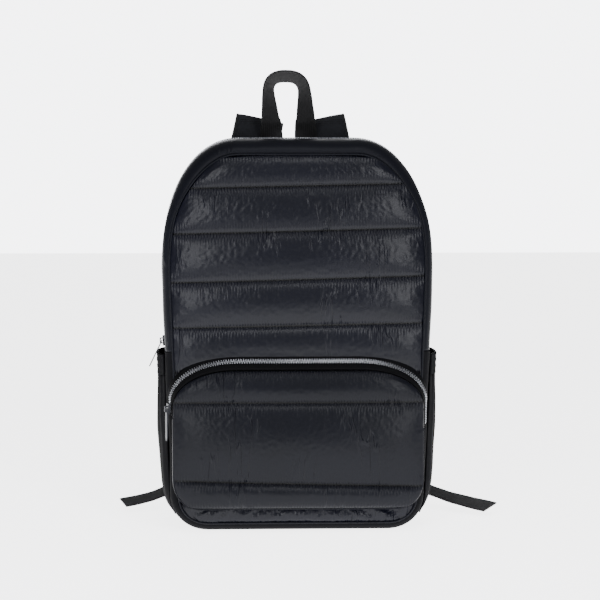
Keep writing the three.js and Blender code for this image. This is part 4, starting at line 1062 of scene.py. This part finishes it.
def ribbon(name, stations, step=2.0, section=WEBBING_SECTION):
    """A strap through stations of place, width direction, width and thickness. Its section is
    a list of shares of the width and the thickness, round the outside."""
    rows = [(*place, *direction, width, thick) for place, direction, width, thick in stations]
    length = sum(math.dist(a[:3], b[:3]) for a, b in zip(rows[:-1], rows[1:]))
    run, total = smooth_run(rows, max(12, int(length / step)))
    place, across, width, thick = run[:, :3], run[:, 3:6], run[:, 6:7], run[:, 7:8]
    along = unit(np.gradient(place, axis=0))
    across = unit(across - along * np.sum(across * along, axis=1)[:, None])
    up = np.cross(along, across)
    points = np.stack([place + across * width * u + up * thick * v for u, v in section], 1)
    count, sides = points.shape[:2]
    faces = grid_faces(count, sides, close=True)
    faces += [list(range(sides))[::-1], [(count - 1) * sides + i for i in range(sides)]]
    uvs = [(u * WEBBING_WIDTH, lie) for lie in np.linspace(0, total, count) for u, _ in section]
    thing = mesh_object(name, points.reshape(-1, 3), faces, uvs)
    turn_outwards(thing.data)
    choose(thing)
    bpy.ops.object.shade_smooth_by_angle(angle=math.radians(50))
    return thing


def handle_station(x, z, inward, twist):
    tilt = math.radians(HANDLE_TILT * twist)
    share = max(0.0, (z - BODY_HEIGHT) / HANDLE_RISE)
    y = handle_y - HANDLE_FORWARD * float(ease((share - 0.04) / 0.25))
    inward = np.array([inward[0], 0, inward[1]]) / math.hypot(*inward)
    direction = inward * math.cos(tilt) + np.array([0, math.sin(tilt), 0])
    return (HANDLE_X + HANDLE_LEAN * share + x, y, z), direction, WEBBING_WIDTH, WEBBING_THICKNESS


def handle_stations():
    leg_top = BODY_HEIGHT + HANDLE_RISE - HANDLE_ARCH

    def leg(side):
        rows = [handle_station(side * HANDLE_FOOT, BODY_HEIGHT - HANDLE_TUCK, (-side, 0), 0)]
        for rise, twist in LEG_TWIST:
            rows.append(handle_station(side * between(HANDLE_FOOT, HANDLE_SPREAD, rise),
                                       between(BODY_HEIGHT, leg_top, rise), (-side, 0), twist))
        return rows

    arch = []
    for i in range(1, ARCH_STEPS):
        turn = math.pi * i / ARCH_STEPS
        across, up = math.cos(turn), math.sin(turn)
        x = HANDLE_SPREAD * math.copysign(abs(across) ** ARCH_SQUARENESS, across)
        arch.append(handle_station(x, leg_top + HANDLE_ARCH * up ** ARCH_SQUARENESS, (-across, -up), 1))
    return leg(1) + arch + leg(-1)[::-1]


webbing_weave, tree, shader = new_finish("woven_polypropylene_webbing", Roughness=0.72,
                                         Specular_IOR_Level=0.25, Sheen_Weight=0.05)
lie = add(tree, "ShaderNodeUVMap", uv_map="lie_of_cloth").outputs["UV"]
weave = combine(tree, "MULTIPLY", bands(tree, lie, 2.4, "X"), bands(tree, lie, 1.2, "Y"))
tone = combine(tree, "MULTIPLY", weave, noise(tree, lie, 40.0, 3.0))
connect(tree, shader, Base_Color=blend(tree, tone, "#09090a", "#1d1d20"),
        Normal=relief(tree, (weave, 0.0003, 0.7)))
handle = ribbon("handle_webbing", handle_stations())
dress(handle, webbing_weave, "pack", "webbing", "carry_handle")

# Yoke: a short bar of the same webbing sewn flat over the handle's legs and the straps.
YOKE_X = -4
YOKE_HALF = 74
YOKE_TOP = BODY_HEIGHT - 8
YOKE_HEIGHT = 20
STRAP_EDGE = 3.5
strap_y = handle_y + WEBBING_THICKNESS / 2 + GAP + STRAP_EDGE / 2
yoke_y = strap_y + STRAP_EDGE / 2 + GAP + WEBBING_THICKNESS / 2
yoke_z = YOKE_TOP - YOKE_HEIGHT / 2
yoke = ribbon("yoke_webbing", [
    ((YOKE_X + x, yoke_y, yoke_z), (0, 0, 1), YOKE_HEIGHT, WEBBING_THICKNESS)
    for x in np.linspace(-YOKE_HALF, YOKE_HALF, 12)
])
dress(yoke, webbing_weave, "pack", "webbing", "strap_yoke")

# Shoulder straps: foam in spacer mesh with a bound edge, flat where they are folded over the
# top of the bag, padded down the back and flat again where the buckle tab is sewn on.
STRAP_TOP_SPREAD = 34
STRAP_TOP = BODY_HEIGHT + 22
STRAP_SPLAY = math.radians(12)
STRAP_WIDTH = 52
STRAP_RUN = 268
STRAP_TUCK = 47
STRAP_PADDING = 9
STRAP_FOLD = 8
STRAP_BOW = 37
BINDING_RADIUS = 1.5
BINDING_INSET = 0.6
STRAP_ROWS = [
    (0.06, 0.12, 0.3, 1), (0.16, 0.55, 0.85, 1.04), (0.32, 0.92, 1, 1.1), (0.5, 1, 1, 1.12),
    (0.68, 0.82, 1, 1.06), (0.83, 0.3, 0.8, 0.98), (0.91, -0.04, 0.27, 0.9), (1, -0.04, 0.27, 0.86),
]
FOLD_STEPS = 6


def fold(radius):
    """Steps round a half turn: how far each lies out, and back from the fold's middle."""
    turns = [math.pi * i / FOLD_STEPS for i in range(FOLD_STEPS + 1)]
    return [(radius * math.sin(turn), -radius * math.cos(turn)) for turn in turns]


def strap_point(side, down, y):
    x = STRAP_TOP_SPREAD + down * math.sin(STRAP_SPLAY)
    return YOKE_X + side * x, y, STRAP_TOP - down * math.cos(STRAP_SPLAY)


def strap_across(side):
    return np.array([math.cos(STRAP_SPLAY), 0, side * math.sin(STRAP_SPLAY)])


def strap_stations(side):
    across = strap_across(side)
    rows = [(strap_point(side, down, strap_y), across, STRAP_WIDTH, STRAP_EDGE)
            for down in (STRAP_TUCK, STRAP_TUCK / 2)]
    for out, back in fold(STRAP_FOLD):
        place = strap_point(side, STRAP_FOLD - out, strap_y + STRAP_FOLD + back)
        rows.append((place, across, STRAP_WIDTH, STRAP_EDGE))
    for down, bow, padding, width in STRAP_ROWS:
        y = strap_y + 2 * STRAP_FOLD + bow * (STRAP_BOW - 2 * STRAP_FOLD)
        rows.append((strap_point(side, down * STRAP_RUN, y), across, STRAP_WIDTH * width,
                     between(STRAP_EDGE, STRAP_PADDING, padding)))
    return rows


PADDED_SECTION = [(0.5 * math.copysign(abs(math.cos(t)) ** 0.55, math.cos(t)),
                   0.5 * math.copysign(abs(math.sin(t)) ** 0.7, math.sin(t)))
                  for t in np.linspace(math.pi, -math.pi, 40, endpoint=False)]
for word, side in (("left", -1), ("right", 1)):
    strap = ribbon(f"padded_strap_{word}", strap_stations(side), section=PADDED_SECTION)
    strap.data.shade_smooth()
    dress(strap, spacer_mesh, "pack", "padded_mesh", f"shoulder_strap_{word}")
    for edge in (-1, 1):
        line = [np.array(place) + across * edge * (width / 2 - BINDING_INSET)
                for place, across, width, _ in strap_stations(side)]
        which = "inner" if edge * side < 0 else "outer"
        binding = tube(f"strap_binding_{word}_{which}", smooth_run(line, 150)[0], BINDING_RADIUS)
        dress(binding, webbing_weave, "pack", "webbing")

# Ladder locks: acetal buckles with two slots, moulded with eased edges. Their webbing tabs
# are sewn to the straps, and the adjusting webbing runs from a wing on the lower corner up
# through the lock and out to its free end.
LOCK_DROP = 27
LOCK_HEIGHT = 30
LOCK_THICKNESS = 3.5
LOCK_BAR = 4
LOCK_EASING = 0.7
TAB_LAP = 18
WING_X = 110
WING_Z = 30
WING_HEIGHT = 28
WING_THICKNESS = 2.4
WING_WIDTHS = (46, 27)
APPROACH = 12
TAIL_TILT = math.radians(14)
TAIL_ROUTE = [
    (-0.08, 0, 104, 0.04), (0.02, 0, 70, 0.2), (0.15, 0, 43, 0.5), (0.34, 0.06, 25, 0.82),
    (0.55, 0.28, 17, 0.97), (0.78, 0.62, 12.5, 1), (1, 1, 10, 1),
]
end_bow, end_padding = STRAP_ROWS[-1][1], between(STRAP_EDGE, STRAP_PADDING, STRAP_ROWS[-1][2])
lock_y = strap_y + 2 * STRAP_FOLD + end_bow * (STRAP_BOW - 2 * STRAP_FOLD)
lock_down = STRAP_RUN + LOCK_DROP
acetal, tree, shader = new_finish("moulded_acetal", Roughness=0.42, IOR=1.48)
spark = noise(tree, object_place(tree), 1500.0)
connect(tree, shader, Base_Color=blend(tree, spark, "#0b0b0c", "#1b1b1d"),
        Normal=relief(tree, (spark, 0.00005, 0.5)))


def tab_stations(side):
    across = strap_across(side)
    stand = end_padding / 2 + GAP + WEBBING_THICKNESS / 2
    bar = lock_down - (LOCK_HEIGHT - LOCK_BAR) / 2
    sewn = STRAP_RUN - TAB_LAP
    rows = [(sewn, -stand)] + [(bar + out, back) for out, back in fold(stand)] + [(sewn, stand)]
    return [(strap_point(side, down, lock_y + y), across, WEBBING_WIDTH, WEBBING_THICKNESS)
            for down, y in rows]


def tail_stations(side, reach, back):
    wrap = LOCK_THICKNESS / 2 + GAP + WEBBING_THICKNESS / 2
    bar_top = lock_down - LOCK_BAR / 2
    level = np.array([0, math.cos(TAIL_TILT), math.sin(TAIL_TILT)])

    def station(place, twist):
        direction = strap_across(side) * side * (1 - twist) + level * twist
        return tuple(place), direction, WEBBING_WIDTH, WEBBING_THICKNESS

    start = np.array([side * WING_X, handle_y, WING_Z])
    rows = [
        station(start + [0, 0, -WING_HEIGHT * 0.3], 0),
        station(start + [0, 0, WING_HEIGHT * 0.6], 0),
        station(strap_point(side, lock_down + LOCK_HEIGHT, lock_y - wrap - 1), 0),
        station(strap_point(side, lock_down + APPROACH, lock_y - wrap), 0),
    ]
    rows += [station(strap_point(side, bar_top - out, lock_y + back_by), 0) for out, back_by in fold(wrap)]
    rows.append(station(strap_point(side, lock_down + APPROACH, lock_y + wrap), 0))
    behind = lock_y + wrap + WEBBING_THICKNESS
    for out, forward, height, twist in TAIL_ROUTE:
        x = WING_X + out * (reach - WING_X)
        rows.append(station((side * x, between(behind, back, forward), height), twist))
    return rows


for word, side, reach, back in (("left", -1, 193, 70), ("right", 1, 217, 27)):
    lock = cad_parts[f"ladder_lock_{word}"]
    moulded = lock.copy()
    moulded.data = lock.data.copy()
    moulded.name = f"moulded_lock_{word}"
    bpy.context.scene.collection.objects.link(moulded)
    build = bmesh.new()
    build.from_mesh(moulded.data)
    bmesh.ops.remove_doubles(build, verts=build.verts, dist=0.00001)
    bmesh.ops.dissolve_limit(build, angle_limit=math.radians(1), verts=build.verts, edges=build.edges)
    build.to_mesh(moulded.data)
    build.free()
    for key in [k for k in moulded.keys() if k.startswith("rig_")]:
        del moulded[key]
    eased = moulded.modifiers.new("eased", "BEVEL")
    eased.width = LOCK_EASING * MM
    eased.segments = 3
    eased.angle_limit = math.radians(40)
    apply_modifiers(moulded)
    dress(moulded, acetal, "pack", "acetal", f"ladder_lock_{word}")

    tab = ribbon(f"tab_webbing_{word}", tab_stations(side), step=1.5)
    dress(tab, webbing_weave, "pack", "webbing", f"strap_tab_{word}")
    tail = ribbon(f"adjusting_webbing_{word}", tail_stations(side, reach, back))
    dress(tail, webbing_weave, "pack", "webbing", f"strap_webbing_{word}")

    wing_y = handle_y + WEBBING_THICKNESS / 2 + GAP + WING_THICKNESS / 2
    sewn_wing = ribbon(f"sewn_wing_{word}", [
        ((side * WING_X, wing_y, WING_Z + WING_HEIGHT * s), (1, 0, 0), between(*WING_WIDTHS, s + 0.5),
         WING_THICKNESS) for s in np.linspace(-0.5, 0.5, 8)
    ])
    dress(sewn_wing, side_cloth, "pack", "side_cloth", f"anchor_wing_{word}")

# Sliders and pullers: cast zinc, the pullers stamped flat with a worn satin face. They are
# the CAD's own pieces in a better metal.
satin_metal = metal_finish("satin_gunmetal", "#1c1d1f", "#3b3c40", 0.42)
for name in ("pocket_zip_slider", "main_zip_slider", "pocket_zip_puller", "main_zip_puller"):
    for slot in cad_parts[name].material_slots:
        slot.material = satin_metal
